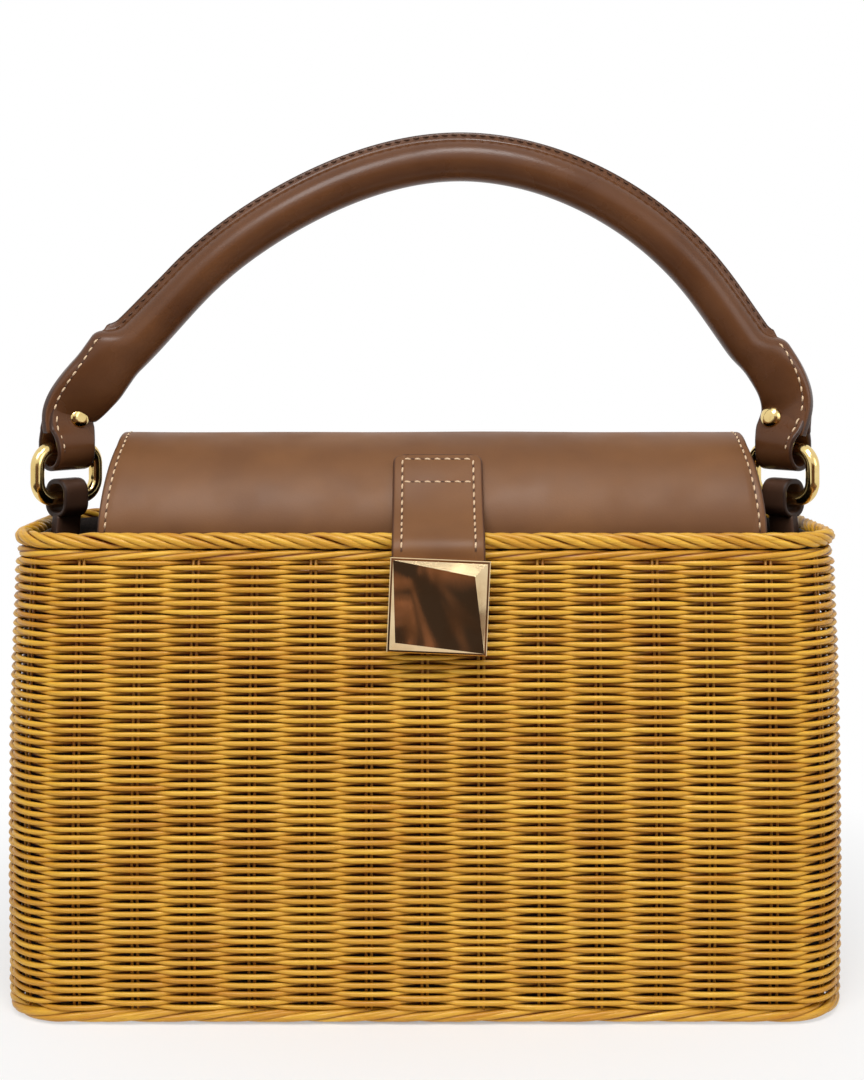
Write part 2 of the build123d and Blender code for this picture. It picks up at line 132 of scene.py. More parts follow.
def on_wall(share, z, out):
    """Places round the wall: share 0 is the front middle, and shares run towards the right."""
    share, z, out = np.broadcast_arrays(np.asarray(share, float) % 1.0, z, out)
    level = z / basket_height
    width = swell(base_width, belly_width, rim_width, level) - 2 * strand_rise
    depth = swell(base_depth, belly_depth, rim_depth, level) - 2 * strand_rise
    r = corner_radius
    flats = (width - 2 * r, depth - 2 * r)
    arc = math.pi * r / 2
    run = (share * girth_length + belly_flats[0] / 2) % girth_length
    place = np.zeros(share.shape + (3,))
    place[..., 2] = z
    start = np.zeros_like(run)
    for quarter in range(4):
        flat = flats[quarter % 2]
        belly_flat = belly_flats[quarter % 2]
        side = (depth, width)[quarter % 2] / 2
        along = run - start
        bend = np.clip((along - belly_flat) / r, 0, math.pi / 2)
        straight = along < belly_flat
        x = np.where(straight, (along / belly_flat - 0.5) * flat, flat / 2 + np.sin(bend) * (r + out))
        y = np.where(straight, -side - out, r - side - np.cos(bend) * (r + out))
        here = (along >= 0) & (along < belly_flat + arc + 1e-12)
        turn = quarter * math.pi / 2
        place[..., 0] = np.where(here, x * math.cos(turn) - y * math.sin(turn), place[..., 0])
        place[..., 1] = np.where(here, x * math.sin(turn) + y * math.cos(turn), place[..., 1])
        start = start + belly_flat + arc
    return place


print("front middle of the wall at the belly:", on_wall(0, 60 * mm, 0).round(4))

# %% [markdown]
# ## Tubes and lofts
# Strands, stitches, straps and the handle are all rings of points joined by faces. One function joins
# rings into a mesh, with smooth shading and values stored on the points for the materials to read.
# A curve with a bevel could make the strands, but then a strand couldn't be flattened where its
# neighbours press it, and its points couldn't carry the shade of the hollow it lies in.

# %% Joining rings of points
def joined(name, lofts, slot, body=None, **values):
    """A mesh of lofts: each is (rings, closed), rings being stations by points by xyz."""
    places, faces, shades = [], [], {key: [] for key in values}
    count = 0
    for index, (rings, closed) in enumerate(lofts):
        rings = np.asarray(rings, float)
        stations, around = rings.shape[:2]
        spot = np.arange(stations * around).reshape(stations, around) + count
        after = np.roll(spot, -1, axis=0)
        near, far = (spot, after) if closed else (spot[:-1], after[:-1])
        quads = np.stack([near, np.roll(near, -1, 1), np.roll(far, -1, 1), far], -1)
        faces += quads.reshape(-1, 4).tolist()
        if not closed:
            faces += [spot[0][::-1].tolist(), spot[-1].tolist()]
        places.append(rings.reshape(-1, 3))
        for key in values:
            shades[key].append(np.broadcast_to(values[key][index], (stations, around)).ravel())
        count += stations * around
    mesh = bpy.data.meshes.new(name)
    mesh.from_pydata(np.concatenate(places).tolist(), [], faces)
    mesh.polygons.foreach_set("use_smooth", [True] * len(mesh.polygons))
    for key, parts in shades.items():
        store = mesh.attributes.new(key, "FLOAT", "POINT")
        store.data.foreach_set("value", np.concatenate(parts).astype(np.float32))
    mesh.update()
    piece = bpy.data.objects.new(name, mesh)
    bpy.context.scene.collection.objects.link(piece)
    if body:
        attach(piece, body)
    return piece


def directions(line, closed, above):
    """Along, up and side directions at each point of a line."""
    if closed:
        along = np.roll(line, -1, axis=-2) - np.roll(line, 1, axis=-2)
    else:
        along = np.gradient(line, axis=-2)
    along = along / np.linalg.norm(along, axis=-1, keepdims=True)
    above = np.broadcast_to(above, line.shape)
    up = above - along * np.sum(above * along, -1, keepdims=True)
    up = up / np.linalg.norm(up, axis=-1, keepdims=True)
    return along, up, np.cross(along, up)


def round_rings(line, tall, wide, sides, closed=False, above=(0, 0, 1)):
    """Rings of an oval tube along a line."""
    _, up, side = directions(line, closed, np.asarray(above, float))
    angle = 2 * math.pi * (np.arange(sides) + 0.5) / sides
    tall = np.broadcast_to(tall, line.shape[:-1])[..., None, None]
    wide = np.broadcast_to(wide, line.shape[:-1])[..., None, None]
    rings = line[..., None, :] + up[..., None, :] * tall * np.cos(angle)[:, None]
    return rings + side[..., None, :] * wide * np.sin(angle)[:, None]


# %% [markdown]
# ## The woven wall
# Thin willow runs in front of one pair of uprights and behind the next, and the next row does the
# opposite. A cosine along the wall gives that path. Where two rows cross between the uprights they
# press each other flat, so the tube is lower there. Small seeded differences in height, thickness
# and spacing keep it from looking machined. Each point stores how far out it stands, so that shade
# can be painted into the hollows as a browner colour, and each crossing stores its own tint.

# %% Strands of the wall
column_count = 38
steps = 8
strand_sides = 6
wall_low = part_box("foot_border")[1][2]
wall_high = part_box("rim_wale")[0][2]
row_height = 1.51 * mm
row_count = int(round((wall_high - wall_low) / row_height))
row_pitch = (wall_high - wall_low) / row_count
wall_middle = -0.65 * mm
swing = 1.45 * mm
swing_fullness = 0.40
strand_tall, strand_wide = 0.88 * mm, 0.92 * mm
pressed_share = 0.22
wall_half = swing + strand_wide
uneven_column, uneven_height, uneven_depth, uneven_girth = 0.045, 0.11, 0.06, 0.05
column_place = np.arange(column_count) + chance.uniform(-uneven_column, uneven_column, column_count)


def per_step(values):
    """Values at the columns, drawn out smoothly to every step of the way round."""
    values = np.asarray(values, float)
    after = np.roll(values, -1, axis=-1)
    ease = (1 - np.cos(np.pi * np.arange(steps) / steps)) / 2
    drawn = values[..., None] * (1 - ease) + after[..., None] * ease
    return drawn.reshape(values.shape[:-1] + (column_count * steps,))


column = np.arange(column_count * steps) / steps
column_shift = per_step(column_place - np.arange(column_count))


def wall_strands(name, rows):
    """One band of the wall: a closed strand for each row."""
    rows = np.asarray(rows)
    wave = np.cos(np.pi * (column[None, :] + rows[:, None]))
    wave = wave + swing_fullness * (1 - wave**2)
    size = (len(rows), column_count)
    lift = per_step(chance.normal(0, uneven_height, size)) * mm
    depth = 1 + per_step(chance.normal(0, uneven_depth, size))
    girth = 1 + per_step(chance.normal(0, uneven_girth, size))
    tint = per_step(chance.uniform(0, 1, size))
    out = wall_middle + swing * wave * depth
    z = wall_low + (rows[:, None] + 0.5) * row_pitch + lift
    share = (column + column_shift) / column_count
    line = on_wall(share[None, :], z, out)
    tall = strand_tall * girth * (1 - pressed_share + pressed_share * np.abs(wave))
    rings = round_rings(line, tall, strand_wide * girth, strand_sides, closed=True)
    angle = 2 * math.pi * (np.arange(strand_sides) + 0.5) / strand_sides
    # how far out a point stands: the finish paints shade into the strands that lie further back
    stand = (out[..., None] + strand_wide * np.sin(angle) - wall_middle + wall_half) / (2 * wall_half)
    lofts = [(ring, True) for ring in rings]
    piece = joined(name, lofts, "wicker", "bag", outward=np.clip(stand, 0, 1), tint=tint[..., None])
    print(name, "has", len(rows), "rows and", 2 * len(piece.data.polygons), "triangles")
    return piece


band_names = ("low", "middle", "high")
band_rows = np.array_split(np.arange(row_count), len(band_names))
wall_bands = [wall_strands(f"wall_strands_{name}", rows) for name, rows in zip(band_names, band_rows)]

# %% [markdown]
# The uprights are pairs of thin rods that show as two fine lines in every dark gap. They could be
# straight cylinders, but the wall swells, so each one is a tube that follows the wall's middle.

# %% Paired uprights
upright_radius = 0.52 * mm
pair_gap = 0.92 * mm
upright_foot = 2 * mm
upright_z = np.linspace(upright_foot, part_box("rim_wale")[1][2], 20)
upright_lean = 0.12
upright_lofts = []
for place in column_place:
    for side in (-1, 1):
        lean = chance.normal(0, upright_lean, 2) * mm
        share = place / column_count + (side * pair_gap + np.linspace(*lean, len(upright_z))) / girth_length
        line = on_wall(share, upright_z, wall_middle)
        outside = on_wall(share, upright_z, wall_middle + mm) - line
        upright_lofts.append((round_rings(line, upright_radius, upright_radius, 6, above=outside), False))
upright_count = len(upright_lofts)
# the uprights get half of the painted hollow shade
uprights = joined(
    "uprights", upright_lofts, "wicker", "bag",
    outward=[0.5] * upright_count, tint=list(chance.uniform(0, 1, upright_count)),
)
print("uprights:", upright_count)

# %% [markdown]
# ## Rim, wale and foot
# The rim is a tight rope of five rods that slants down to the right. The wale below it and the foot
# are longer twists of three that rise to the right. Each rope is one long rod, or a pair side by
# side, that goes round the basket in a helix as many times as the rope has rods. It closes on itself
# where the number of slants that are seen shares no factor with the number of rods. The CAD rolls
# give the height and the thickness.

# %% Twisted borders
steps_per_turn = 30
rod_sides = 7
wobble_places, wobble_size = 64, 0.06
tone_places = 90


def twisted_border(name, node, turns_seen, rise, reach, twins, rods=3, fuller=1.0, loose=1.0):
    """A rope along a CAD roll: 'reach' is a rod's share of its radius, 'rise' 1 slants up to the right."""
    low, high = (corner[2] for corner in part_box(node))
    radius, middle = fuller * (high - low) / 2, (high + low) / 2
    around = turns_seen * steps_per_turn
    travel = np.arange(around) / around * rods
    wobble_at = np.linspace(0, rods, wobble_places)
    wobble = np.interp(travel, wobble_at, chance.normal(0, wobble_size, wobble_places), period=rods)
    lofts, stands, tints = [], [], []
    for twin in twins:
        angle = rise * 2 * math.pi * turns_seen / rods * travel + 2.2 * loose * wobble + twin
        helix, rod = radius * (1 - reach), radius * reach
        line = on_wall(travel, middle + helix * np.sin(angle), wall_middle)
        line[:, :2] = on_wall(travel, np.full(around, middle), wall_middle + helix * np.cos(angle))[:, :2]
        girth = rod * (1 + 0.5 * loose * wobble)
        lofts.append((round_rings(line, girth, girth, rod_sides, closed=True), True))
        angles = 2 * math.pi * (np.arange(rod_sides) + 0.5) / rod_sides
        stand = np.cos(angle)[:, None] * helix + rod * np.sin(angles)
        height = np.sin(angle)[:, None] * helix + rod * np.cos(angles)
        depth = np.hypot(stand, height) / radius
        # the rope is darker towards its middle: painted shade between the rods
        stands.append(np.clip(0.2 + 0.8 * (depth - 0.55) / 0.42, 0, 1))
        tone_at = np.linspace(0, rods, tone_places)
        tone = np.interp(travel, tone_at, chance.uniform(0, 1, tone_places), period=rods)
        tints.append(tone[:, None])
    piece = joined(name, lofts, "wicker", "bag", outward=stands, tint=tints)
    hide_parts(node)
    print(name, "radius", round(radius / mm, 2), "mm,", 2 * len(piece.data.polygons), "triangles")
    return piece


rim_rods = twisted_border("rim_rods", "rim_border", 104, -1, 0.41, (0.0,), rods=5, loose=1.6)
wale_rods = twisted_border("wale_rods", "rim_wale", 38, 1, 0.56, (0.0,), fuller=1.14)
foot_rods = twisted_border("foot_rods", "foot_border", 38, 1, 0.48, (-0.3, 0.3))
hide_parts("basket_wall")

# %% [markdown]
# ## The woven base
# Underneath, rods lie side by side along the bag and dip over and under cross rods. A bump on a plate
# would do from far off, but the base is what a hand feels, so it gets real rods too, cut to the
# rounded outline inside the foot.

# %% Rods of the base
base_low, base_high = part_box("basket_base")
base_half_x, base_half_y = base_high[0], base_high[1]
base_middle_z = (base_low[2] + base_high[2]) / 2
rod_radius = 1.15 * mm
rod_count = int((2 * base_half_y) / (2.1 * rod_radius))
base_corner = corner_radius - 3 * mm
cross_pitch = 19.4 * mm
base_swing = (base_high[2] - base_low[2]) / 2 - rod_radius
base_lofts, base_out, base_tint = [], [], []
for rod in range(rod_count):
    y = -base_half_y + rod_radius + rod * (2 * base_half_y - 2 * rod_radius) / (rod_count - 1)
    into = max(0.0, abs(y) + rod_radius - (base_half_y - base_corner))
    half = base_half_x - base_corner + math.sqrt(max(base_corner**2 - into**2, 0))
    x = np.linspace(-half, half, 90)
    weave = np.cos(np.pi * (x / cross_pitch + rod))
    line = np.stack([x, np.full_like(x, y), base_middle_z + base_swing * weave], -1)
    base_lofts.append((round_rings(line, rod_radius, rod_radius, 6), False))
    # painted shade: a rod is darker where it rises away from the underside
    base_out.append((0.62 - 0.3 * weave)[:, None])
    base_tint.append(chance.uniform(0, 1))
woven_base = joined("woven_base", base_lofts, "wicker", "bag", outward=base_out, tint=base_tint)
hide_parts("basket_base")
print("base rods:", rod_count)

# %% [markdown]
# ## Leather strips
# The flap, the strap and the loops are cut from sheet leather, so they all need the same section: two
# faces, and a cut edge that is rounded and painted. One function gives that outline, with a shallow
# furrow where a line of stitches will lie, and marks the points of the cut edge for the edge paint.
# A solidify modifier would be quicker, but it gives square edges and no furrow.

# %% Section of a leather strip
furrow_depth = 0.28 * mm
furrow_half = 0.7 * mm
largest_edge_radius = 0.9 * mm


def strip_section(width, thickness, face_steps, furrows=()):
    """Points (across, up, edge) round a strip's section, from the left of its upper face."""
    r = min(0.45 * thickness, largest_edge_radius)
    across = np.linspace(-width / 2 + r, width / 2 - r, face_steps)
    extra = [at + side for at in furrows for side in (-furrow_half, 0.0, furrow_half)]
    across = np.unique(np.concatenate([across, extra]).round(7))
    dip = [furrow_depth if any(abs(a - at) < 1e-6 for at in furrows) else 0.0 for a in across]
    face = [(a, thickness / 2 - d, 0.0) for a, d in zip(across, dip)]
    round_edge = []
    for step in range(7):
        angle = math.pi / 2 - math.pi * step / 6
        round_edge.append((
            width / 2 - r + r * math.cos(angle),
            (thickness / 2 - r) * np.sign(math.sin(angle)) * (abs(math.sin(angle)) > 0.01)
            + r * math.sin(angle),
            1.0,
        ))
    under = [(a, -thickness / 2, 0.0) for a in across[::-1]]
    left = [(-a, u, e) for a, u, e in round_edge[::-1]]
    return np.array(face + round_edge[1:-1] + under + left[1:-1])


def sweep_section(section, line, above, closed=False, widen=None):
    """Rings of a section carried along a line, its upper side turned to 'above'."""
    _, up, side = directions(line, closed, above)
    widen = np.ones(len(line)) if widen is None else widen
    across = section[None, :, 0, None] * widen[:, None, None] * side[:, None, :]
    return line[:, None, :] + across + section[None, :, 1, None] * up[:, None, :]


print("strip section has", len(strip_section(30 * mm, 2 * mm, 9)), "points")

# %% [markdown]
# ## Stitches
# A saddle stitch is a row of short slanting threads that dip into the leather at both ends. Each one
# is a small tube laid along the furrow, a little higher in its middle. A texture of dashes would be
# flat from the side, so the thread is real and catches the light. Between two stitches the awl's
# hole lies in shade, and a shorter, lower tube in dark brown paints that shade.

# %% A row of stitches
thread_radius = 0.34 * mm
stitch_pitch = 3.5 * mm
stitch_length = 2.5 * mm
stitch_slant = 0.12 * mm
hole_overlap = 0.1 * mm


def stitch_row(line, above, start=0.0, length=stitch_length, girth=thread_radius, bow=0.62, sink=0.40):
    """Tubes along a line: 'bow' is how high one arches and 'sink' how deep its ends go, in mm."""
    line, above = np.asarray(line, float), np.broadcast_to(np.asarray(above, float), np.shape(line))
    runs = np.concatenate([[0], np.cumsum(np.linalg.norm(np.diff(line, axis=0), axis=1))])
    count = int((runs[-1] - start - length) / stitch_pitch) + 1
    arc = np.sin(np.linspace(0, math.pi, 7))
    lofts = []
    for stitch in range(count):
        at = start + stitch * stitch_pitch + np.linspace(0, length, 7)
        place = np.stack([np.interp(at, runs, line[:, axis]) for axis in range(3)], -1)
        lift = np.stack([np.interp(at, runs, above[:, axis]) for axis in range(3)], -1)
        _, up, side = directions(place, False, lift)
        place = place + up * (arc * bow - sink)[:, None] * mm
        place = place + side * (np.linspace(-1, 1, 7) * stitch_slant)[:, None]
        size = girth * (0.55 + 0.45 * np.sqrt(arc))
        lofts.append((round_rings(place, size, size, 6, above=up), False))
    return lofts


def hole_row(line, above, start=0.0):
    """Short dark tubes between the stitches of the same row: the painted shade of the awl holes."""
    gap = stitch_pitch - stitch_length
    first = start + stitch_length - hole_overlap
    return stitch_row(line, above, first, gap + 2 * hole_overlap, bow=0.12, sink=0.04)


print("stitch of", stitch_length / mm, "mm every", stitch_pitch / mm, "mm")

# %% [markdown]
# ## The flap
# One sheet of tan leather comes up inside the back wall, arches over the top and tucks behind the
# front rim. Its section is two smooth curves from the crown, and its sides flare a little towards
# the front. The front half lifts on a soft crease, and the sheet is one piece rather than cut in two.

# %% Flap leather
flap_thickness = 2.4 * mm
flap_width, flap_front_width = 227.0 * mm, 232.0 * mm
flap_shift = 2.5 * mm
crown_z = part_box("flap_back")[1][2] - flap_thickness / 2
edge_z = 161.4 * mm
front_reach = 36.0 * mm
bend_reach = 14.0 * mm
hem_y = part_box("flap_back")[1][1] - flap_thickness / 2
hem_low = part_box("flap_back")[0][2]


def arch(reach, steps):
    """Half of the flap's arch in the side view, from the crown to an edge."""
    shoulder_z = edge_z + 0.42 * (crown_z - edge_z)
    pulls = ((0.0, crown_z), (0.50 * reach, crown_z), (reach, shoulder_z), (reach, edge_z))
    t = np.linspace(0, 1, steps)[:, None]
    weights = ((1 - t) ** 3, 3 * t * (1 - t) ** 2, 3 * t**2 * (1 - t), t**3)
    return sum(weight * np.array(pull) for weight, pull in zip(weights, pulls))


hem = np.stack([np.full(12, hem_y), np.linspace(hem_low, edge_z, 13)[:-1]], -1)
side_view = np.concatenate([hem, arch(hem_y, 40)[::-1], arch(-front_reach, 40)[1:]])
flap_line = np.stack([np.full(len(side_view), flap_shift), side_view[:, 0], side_view[:, 1]], -1)
slope = np.gradient(flap_line, axis=0)
flap_above = np.stack([np.zeros(len(slope)), slope[:, 2], -slope[:, 1]], -1)
flare = np.clip((-flap_line[:, 1] - bend_reach) / (front_reach - bend_reach), 0, 1)
flap_widen = 1 + flare * (flap_front_width / flap_width - 1)
flap_stitch_in = 2.6 * mm
furrow_at = flap_width / 2 - flap_stitch_in
flap_section = strip_section(flap_width, flap_thickness, 49, furrows=(-furrow_at, furrow_at))
flap_rings = sweep_section(flap_section, flap_line, flap_above, widen=flap_widen)
ripple_height, ripple_half_width = 0.16 * mm, 106.0 * mm
across, along = flap_rings[..., 0], flap_rings[..., 1]
ripple = ripple_height * np.sin(across * 61 + along * 90) * np.sin(across * 23 + 1)
flap_rings[..., 2] += ripple * (np.abs(across - flap_shift) < ripple_half_width)
flap_edge = np.broadcast_to(flap_section[:, 2], flap_rings.shape[:2]).copy()
flap_edge[[0, -1]] = 1.0
flap_leather = joined("flap_leather", [(flap_rings, False)], "leather", edge=[flap_edge])
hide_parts("flap_front", "flap_back")
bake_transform(flap_leather)
print("flap:", len(flap_leather.data.polygons), "faces")

# %% [markdown]
# The flap's stitches run down both sides in the furrows.

# %% Stitches along the flap's sides
_, flap_up, _ = directions(flap_line, False, flap_above)
flap_stitch_lofts, flap_hole_lofts = [], []
shown = slice(12, len(flap_line) - 1)
for side in (-1, 1):
    line = flap_line + flap_up * (flap_thickness / 2 - furrow_depth)
    line[:, 0] = flap_shift + side * furrow_at * flap_widen
    flap_stitch_lofts += stitch_row(line[shown], flap_up[shown], 1 * mm)
    flap_hole_lofts += hole_row(line[shown], flap_up[shown], 1 * mm)
flap_stitches = joined("flap_stitches", flap_stitch_lofts, "leather")
flap_holes = joined("flap_stitch_holes", flap_hole_lofts, "leather")
for piece in (flap_stitches, flap_holes):
    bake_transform(piece)
print("flap stitches:", len(flap_stitch_lofts))

# %% [markdown]
# ## The closing strap
# A narrower strip starts on the flap, bridges to the rim and hangs down the front behind the clasp.
# Its line is a smooth curve through a few places: on the flap, over the rim's roll and straight down.
# A natural cubic spline bends like the leather does, with no kinks at the places it passes.

# %% A smooth line through places
def smooth_line(places, count):
    """Natural cubic spline through places, as evenly stepped points."""
    places = np.asarray(places, float)
    knots = np.concatenate([[0], np.cumsum(np.linalg.norm(np.diff(places, axis=0), axis=1))])
    gaps = np.diff(knots)
    size = len(places)
    matrix, right = np.eye(size), np.zeros((size, places.shape[1]))
    for i in range(1, size - 1):
        matrix[i, i - 1 : i + 2] = gaps[i - 1], 2 * (gaps[i - 1] + gaps[i]), gaps[i]
        right[i] = 6 * ((places[i + 1] - places[i]) / gaps[i] - (places[i] - places[i - 1]) / gaps[i - 1])
    bend = np.linalg.solve(matrix, right)
    t = np.linspace(0, knots[-1], count)
    i = np.clip(np.searchsorted(knots, t, "right") - 1, 0, size - 2)
    h, a, b = gaps[i][:, None], (knots[i + 1] - t)[:, None], (t - knots[i])[:, None]
    line = bend[i] * a**3 / (6 * h) + bend[i + 1] * b**3 / (6 * h)
    line += (places[i] / h - bend[i] * h / 6) * a + (places[i + 1] / h - bend[i + 1] * h / 6) * b
    return line


# %% [markdown]
# The strap lies on the flap at three places, then on the roll of the rim, and from there it goes down
# straight. The CAD strap gives its width and its foot, and the corners at its upper end are round.

# %% Strap leather
strap_thickness = 2.2 * mm
strap_points = 120
strap_air, rim_air = 0.15 * mm, 0.9 * mm
strap_low, strap_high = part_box("closure_strap")
strap_width = strap_high[0] - strap_low[0]
strap_x = (strap_high[0] + strap_low[0]) / 2
strap_y = strap_low[1] + strap_thickness / 2
rim_low, rim_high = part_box("rim_border")
rim_radius = (rim_high[2] - rim_low[2]) / 2
rim_z = (rim_high[2] + rim_low[2]) / 2
roll_y = on_wall(0, rim_z, wall_middle)[1]
on_flap = [np.argmin(np.abs(flap_line[:, 1] + reach * mm)) for reach in (21, 25, 29)]
lift = (flap_thickness + strap_thickness) / 2 + strap_air
strap_places = [(strap_x, *(flap_line[i] + flap_up[i] * lift)[1:]) for i in on_flap]
strap_places.append((strap_x, roll_y, rim_z + rim_radius + rim_air + strap_thickness / 2))
clasp_low, clasp_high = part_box("clasp_plate")
strap_bend_z = (rim_z + clasp_high[2]) / 2
for share in (0, 0.12, 0.4, 0.7, 1):
    strap_places.append((strap_x, strap_y, strap_bend_z + (strap_low[2] - strap_bend_z) * share))
strap_line = smooth_line(strap_places, strap_points)
slope = np.gradient(strap_line, axis=0)
strap_above = np.stack([np.zeros(strap_points), slope[:, 2], -slope[:, 1]], -1)
strap_furrow = strap_width / 2 - 3.3 * mm
strap_section = strip_section(strap_width, strap_thickness, 17, furrows=(-strap_furrow, strap_furrow))
strap_run = np.cumsum(np.linalg.norm(np.diff(strap_line, axis=0, prepend=strap_line[:1]), axis=1))
round_off = 3.2 * mm
from_corner = np.clip(round_off - strap_run, 0, round_off)
strap_narrow = 1 - (round_off - np.sqrt(round_off**2 - from_corner**2)) / (strap_width / 2)
strap_rings = sweep_section(strap_section, strap_line, strap_above, widen=strap_narrow)
strap_edge = np.broadcast_to(strap_section[:, 2], strap_rings.shape[:2]).copy()
strap_edge[[0, -1]] = 1.0
closing_strap = joined("closing_strap", [(strap_rings, False)], "leather", "flap", edge=[strap_edge])
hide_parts("closure_strap")
print("strap:", round(strap_run[-1] / mm), "mm long")

# %% [markdown]
# Two rows of stitches run down the strap as far as the clasp, and two more cross it where it is sewn
# to the flap.

# %% Stitches of the strap
side_row_start, cross_row_start = 2.6 * mm, 0.6 * mm
cross_rows = (2.4 * mm, 12.6 * mm)
_, strap_up, _ = directions(strap_line, False, strap_above)
strap_face = strap_line + strap_up * (strap_thickness / 2 - 0.2 * mm)
strap_lofts, strap_hole_lofts = [], []
for side in (-1, 1):
    line = strap_face.copy()
    line[:, 0] = strap_x + side * strap_furrow
    covered = np.argmin(np.abs(line[:, 2] - clasp_high[2]))
    strap_lofts += stitch_row(line[:covered], strap_up[:covered], side_row_start)
    strap_hole_lofts += hole_row(line[:covered], strap_up[:covered], side_row_start)
for across_at in cross_rows:
    i = np.argmin(np.abs(strap_run - across_at))
    x = strap_x + np.linspace(-strap_furrow, strap_furrow, 24)
    line = np.stack([x, np.full(24, strap_face[i, 1]), np.full(24, strap_face[i, 2] + 0.15 * mm)], -1)
    strap_lofts += stitch_row(line, strap_up[i], cross_row_start)
    strap_hole_lofts += hole_row(line, strap_up[i], cross_row_start)
strap_stitches = joined("strap_stitches", strap_lofts, "leather", "flap")
strap_holes = joined("strap_stitch_holes", strap_hole_lofts, "leather", "flap")
print("strap stitches:", len(strap_lofts))

# %% [markdown]
# ## The clasp
# The clasp is a square plate. Its face twists between two corners of the plate and two raised points,
# a high one at the upper right and a low one at the lower left, and narrow flat facets fill the rest
# of the square. A face that goes straight from side to side between four such points is a twisted
# patch, and it draws the long curved reflections that a flat pyramid wouldn't.

# %% Twisted face of the clasp
clasp_back = clasp_high[1]
clasp_front = clasp_low[1]
clasp_half_x = (clasp_high[0] - clasp_low[0]) / 2
clasp_half_z = (clasp_high[2] - clasp_low[2]) / 2
clasp_middle = ((clasp_high[0] + clasp_low[0]) / 2, (clasp_high[2] + clasp_low[2]) / 2)
plate_edge = 1.8 * mm
border = 0.9 * mm
peak_rise = 0.66 * (clasp_back - clasp_front - plate_edge)


def clasp_point(share_x, share_z, rise):
    """A point on the clasp: shares of its inner half sizes and a height over the plate."""
    x = clasp_middle[0] + share_x * (clasp_half_x - border)
    z = clasp_middle[1] + share_z * (clasp_half_z - border)
    return np.array((x, clasp_back - plate_edge - rise, z))


plate_corners = [clasp_point(x, z, 0.0) for x, z in ((-1, 1), (1, 1), (1, -1), (-1, -1))]
upper_left, upper_right, lower_right, lower_left = plate_corners
peak = clasp_point(0.73, 0.74, peak_rise)
low_peak = clasp_point(-0.88, -0.82, 0.5 * peak_rise)
patch = 20
clasp_points, clasp_faces = [], []
for j in range(patch + 1):
    for i in range(patch + 1):
        u, v = i / patch, j / patch
        top = upper_left * (1 - u) + peak * u
        bottom = low_peak * (1 - u) + lower_right * u
        clasp_points.append(top * (1 - v) + bottom * v)
row = patch + 1
for j in range(patch):
    for i in range(patch):
        clasp_faces.append((j * row + i, (j + 1) * row + i, (j + 1) * row + i + 1, j * row + i + 1))
print("clasp's face:", len(clasp_faces), "faces, peak", round(peak_rise / mm, 1), "mm")

# %% [markdown]
# Four flat facets join the twisted face to the two corners it leaves out. Then loops of four points
# go round the plate, each a little wider or further back, and make its rounded edge. The last loop
# closes the back, and the whole clasp is turned a little, as it sits on the strap.

# %% Facets and edge of the clasp
at_upper_left, at_peak, at_low_peak, at_lower_right = 0, patch, patch * row, row * row - 1
at_upper_right, at_lower_left = row * row, row * row + 1
clasp_points += [upper_right, lower_left]
top_side = list(range(at_upper_left, at_peak + 1))
right_side = [j * row + patch for j in range(row)]
bottom_side = list(range(at_low_peak, at_lower_right + 1))
left_side = [j * row for j in range(row)]
clasp_faces.append(tuple([at_upper_right] + top_side))
clasp_faces.append(tuple([at_upper_right] + right_side))
clasp_faces.append(tuple([at_lower_left] + bottom_side[::-1]))
clasp_faces.append(tuple([at_lower_left] + left_side[::-1]))
last = [at_upper_left, at_upper_right, at_lower_right, at_lower_left]
for grow, back in ((0.0, 0.3), (0.7, 0.3), (1.0, 0.55), (1.0, plate_edge / mm)):
    loop = list(range(len(clasp_points), len(clasp_points) + 4))
    y = clasp_back - plate_edge + back * mm
    for corner in plate_corners:
        x = corner[0] + math.copysign(border * grow, corner[0] - clasp_middle[0])
        z = corner[2] + math.copysign(border * grow, corner[2] - clasp_middle[1])
        clasp_points.append(np.array((x, y, z)))
    for i in range(4):
        after = (i + 1) % 4
        clasp_faces.append((last[i], last[after], loop[after], loop[i]))
    last = loop
clasp_faces.append(tuple(last))
clasp_lean = math.radians(-2.5)
clasp_points = np.array(clasp_points)
from_x, from_z = clasp_points[:, 0] - clasp_middle[0], clasp_points[:, 2] - clasp_middle[1]
clasp_points[:, 0] = clasp_middle[0] + from_x * math.cos(clasp_lean) - from_z * math.sin(clasp_lean)
clasp_points[:, 2] = clasp_middle[1] + from_x * math.sin(clasp_lean) + from_z * math.cos(clasp_lean)
print("clasp:", len(clasp_points), "points,", len(clasp_faces), "faces")

# %% [markdown]
# The facets were listed in either direction, so the faces are turned outwards. Edges steeper than a
# few degrees are marked sharp, which leaves the twisted face smooth and the facets crisp.

# %% Clasp plate
sharp_from = 7
clasp_mesh = bpy.data.meshes.new("clasp")
clasp_mesh.from_pydata(clasp_points.tolist(), [], clasp_faces)
clasp_mesh.validate()
shell = bmesh.new()
shell.from_mesh(clasp_mesh)
bmesh.ops.recalc_face_normals(shell, faces=shell.faces)
shell.to_mesh(clasp_mesh)
shell.free()
clasp_mesh.update()
clasp_mesh.polygons.foreach_set("use_smooth", [True] * len(clasp_mesh.polygons))
clasp_mesh.set_sharp_from_angle(angle=math.radians(sharp_from))
clasp = bpy.data.objects.new("clasp", clasp_mesh)
bpy.context.scene.collection.objects.link(clasp)
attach(clasp, "flap")
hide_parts("clasp_plate")
print("clasp plate:", len(clasp_mesh.polygons), "faces")

# %% [markdown]
# ## The handle
# Leather is wrapped round a soft core and sewn along the outside of the arch, so the tube carries a
# thin standing seam. Towards each end it flattens and turns to a broad tab, which folds round the
# ring. It could be a tube, a tab and a loop joined by booleans, but one loft whose section changes
# from a circle to a flat strip keeps the leather unbroken, as it is. The line goes up the left tab,
# over the arch and down the right tab, and the sizes are set at the same places.

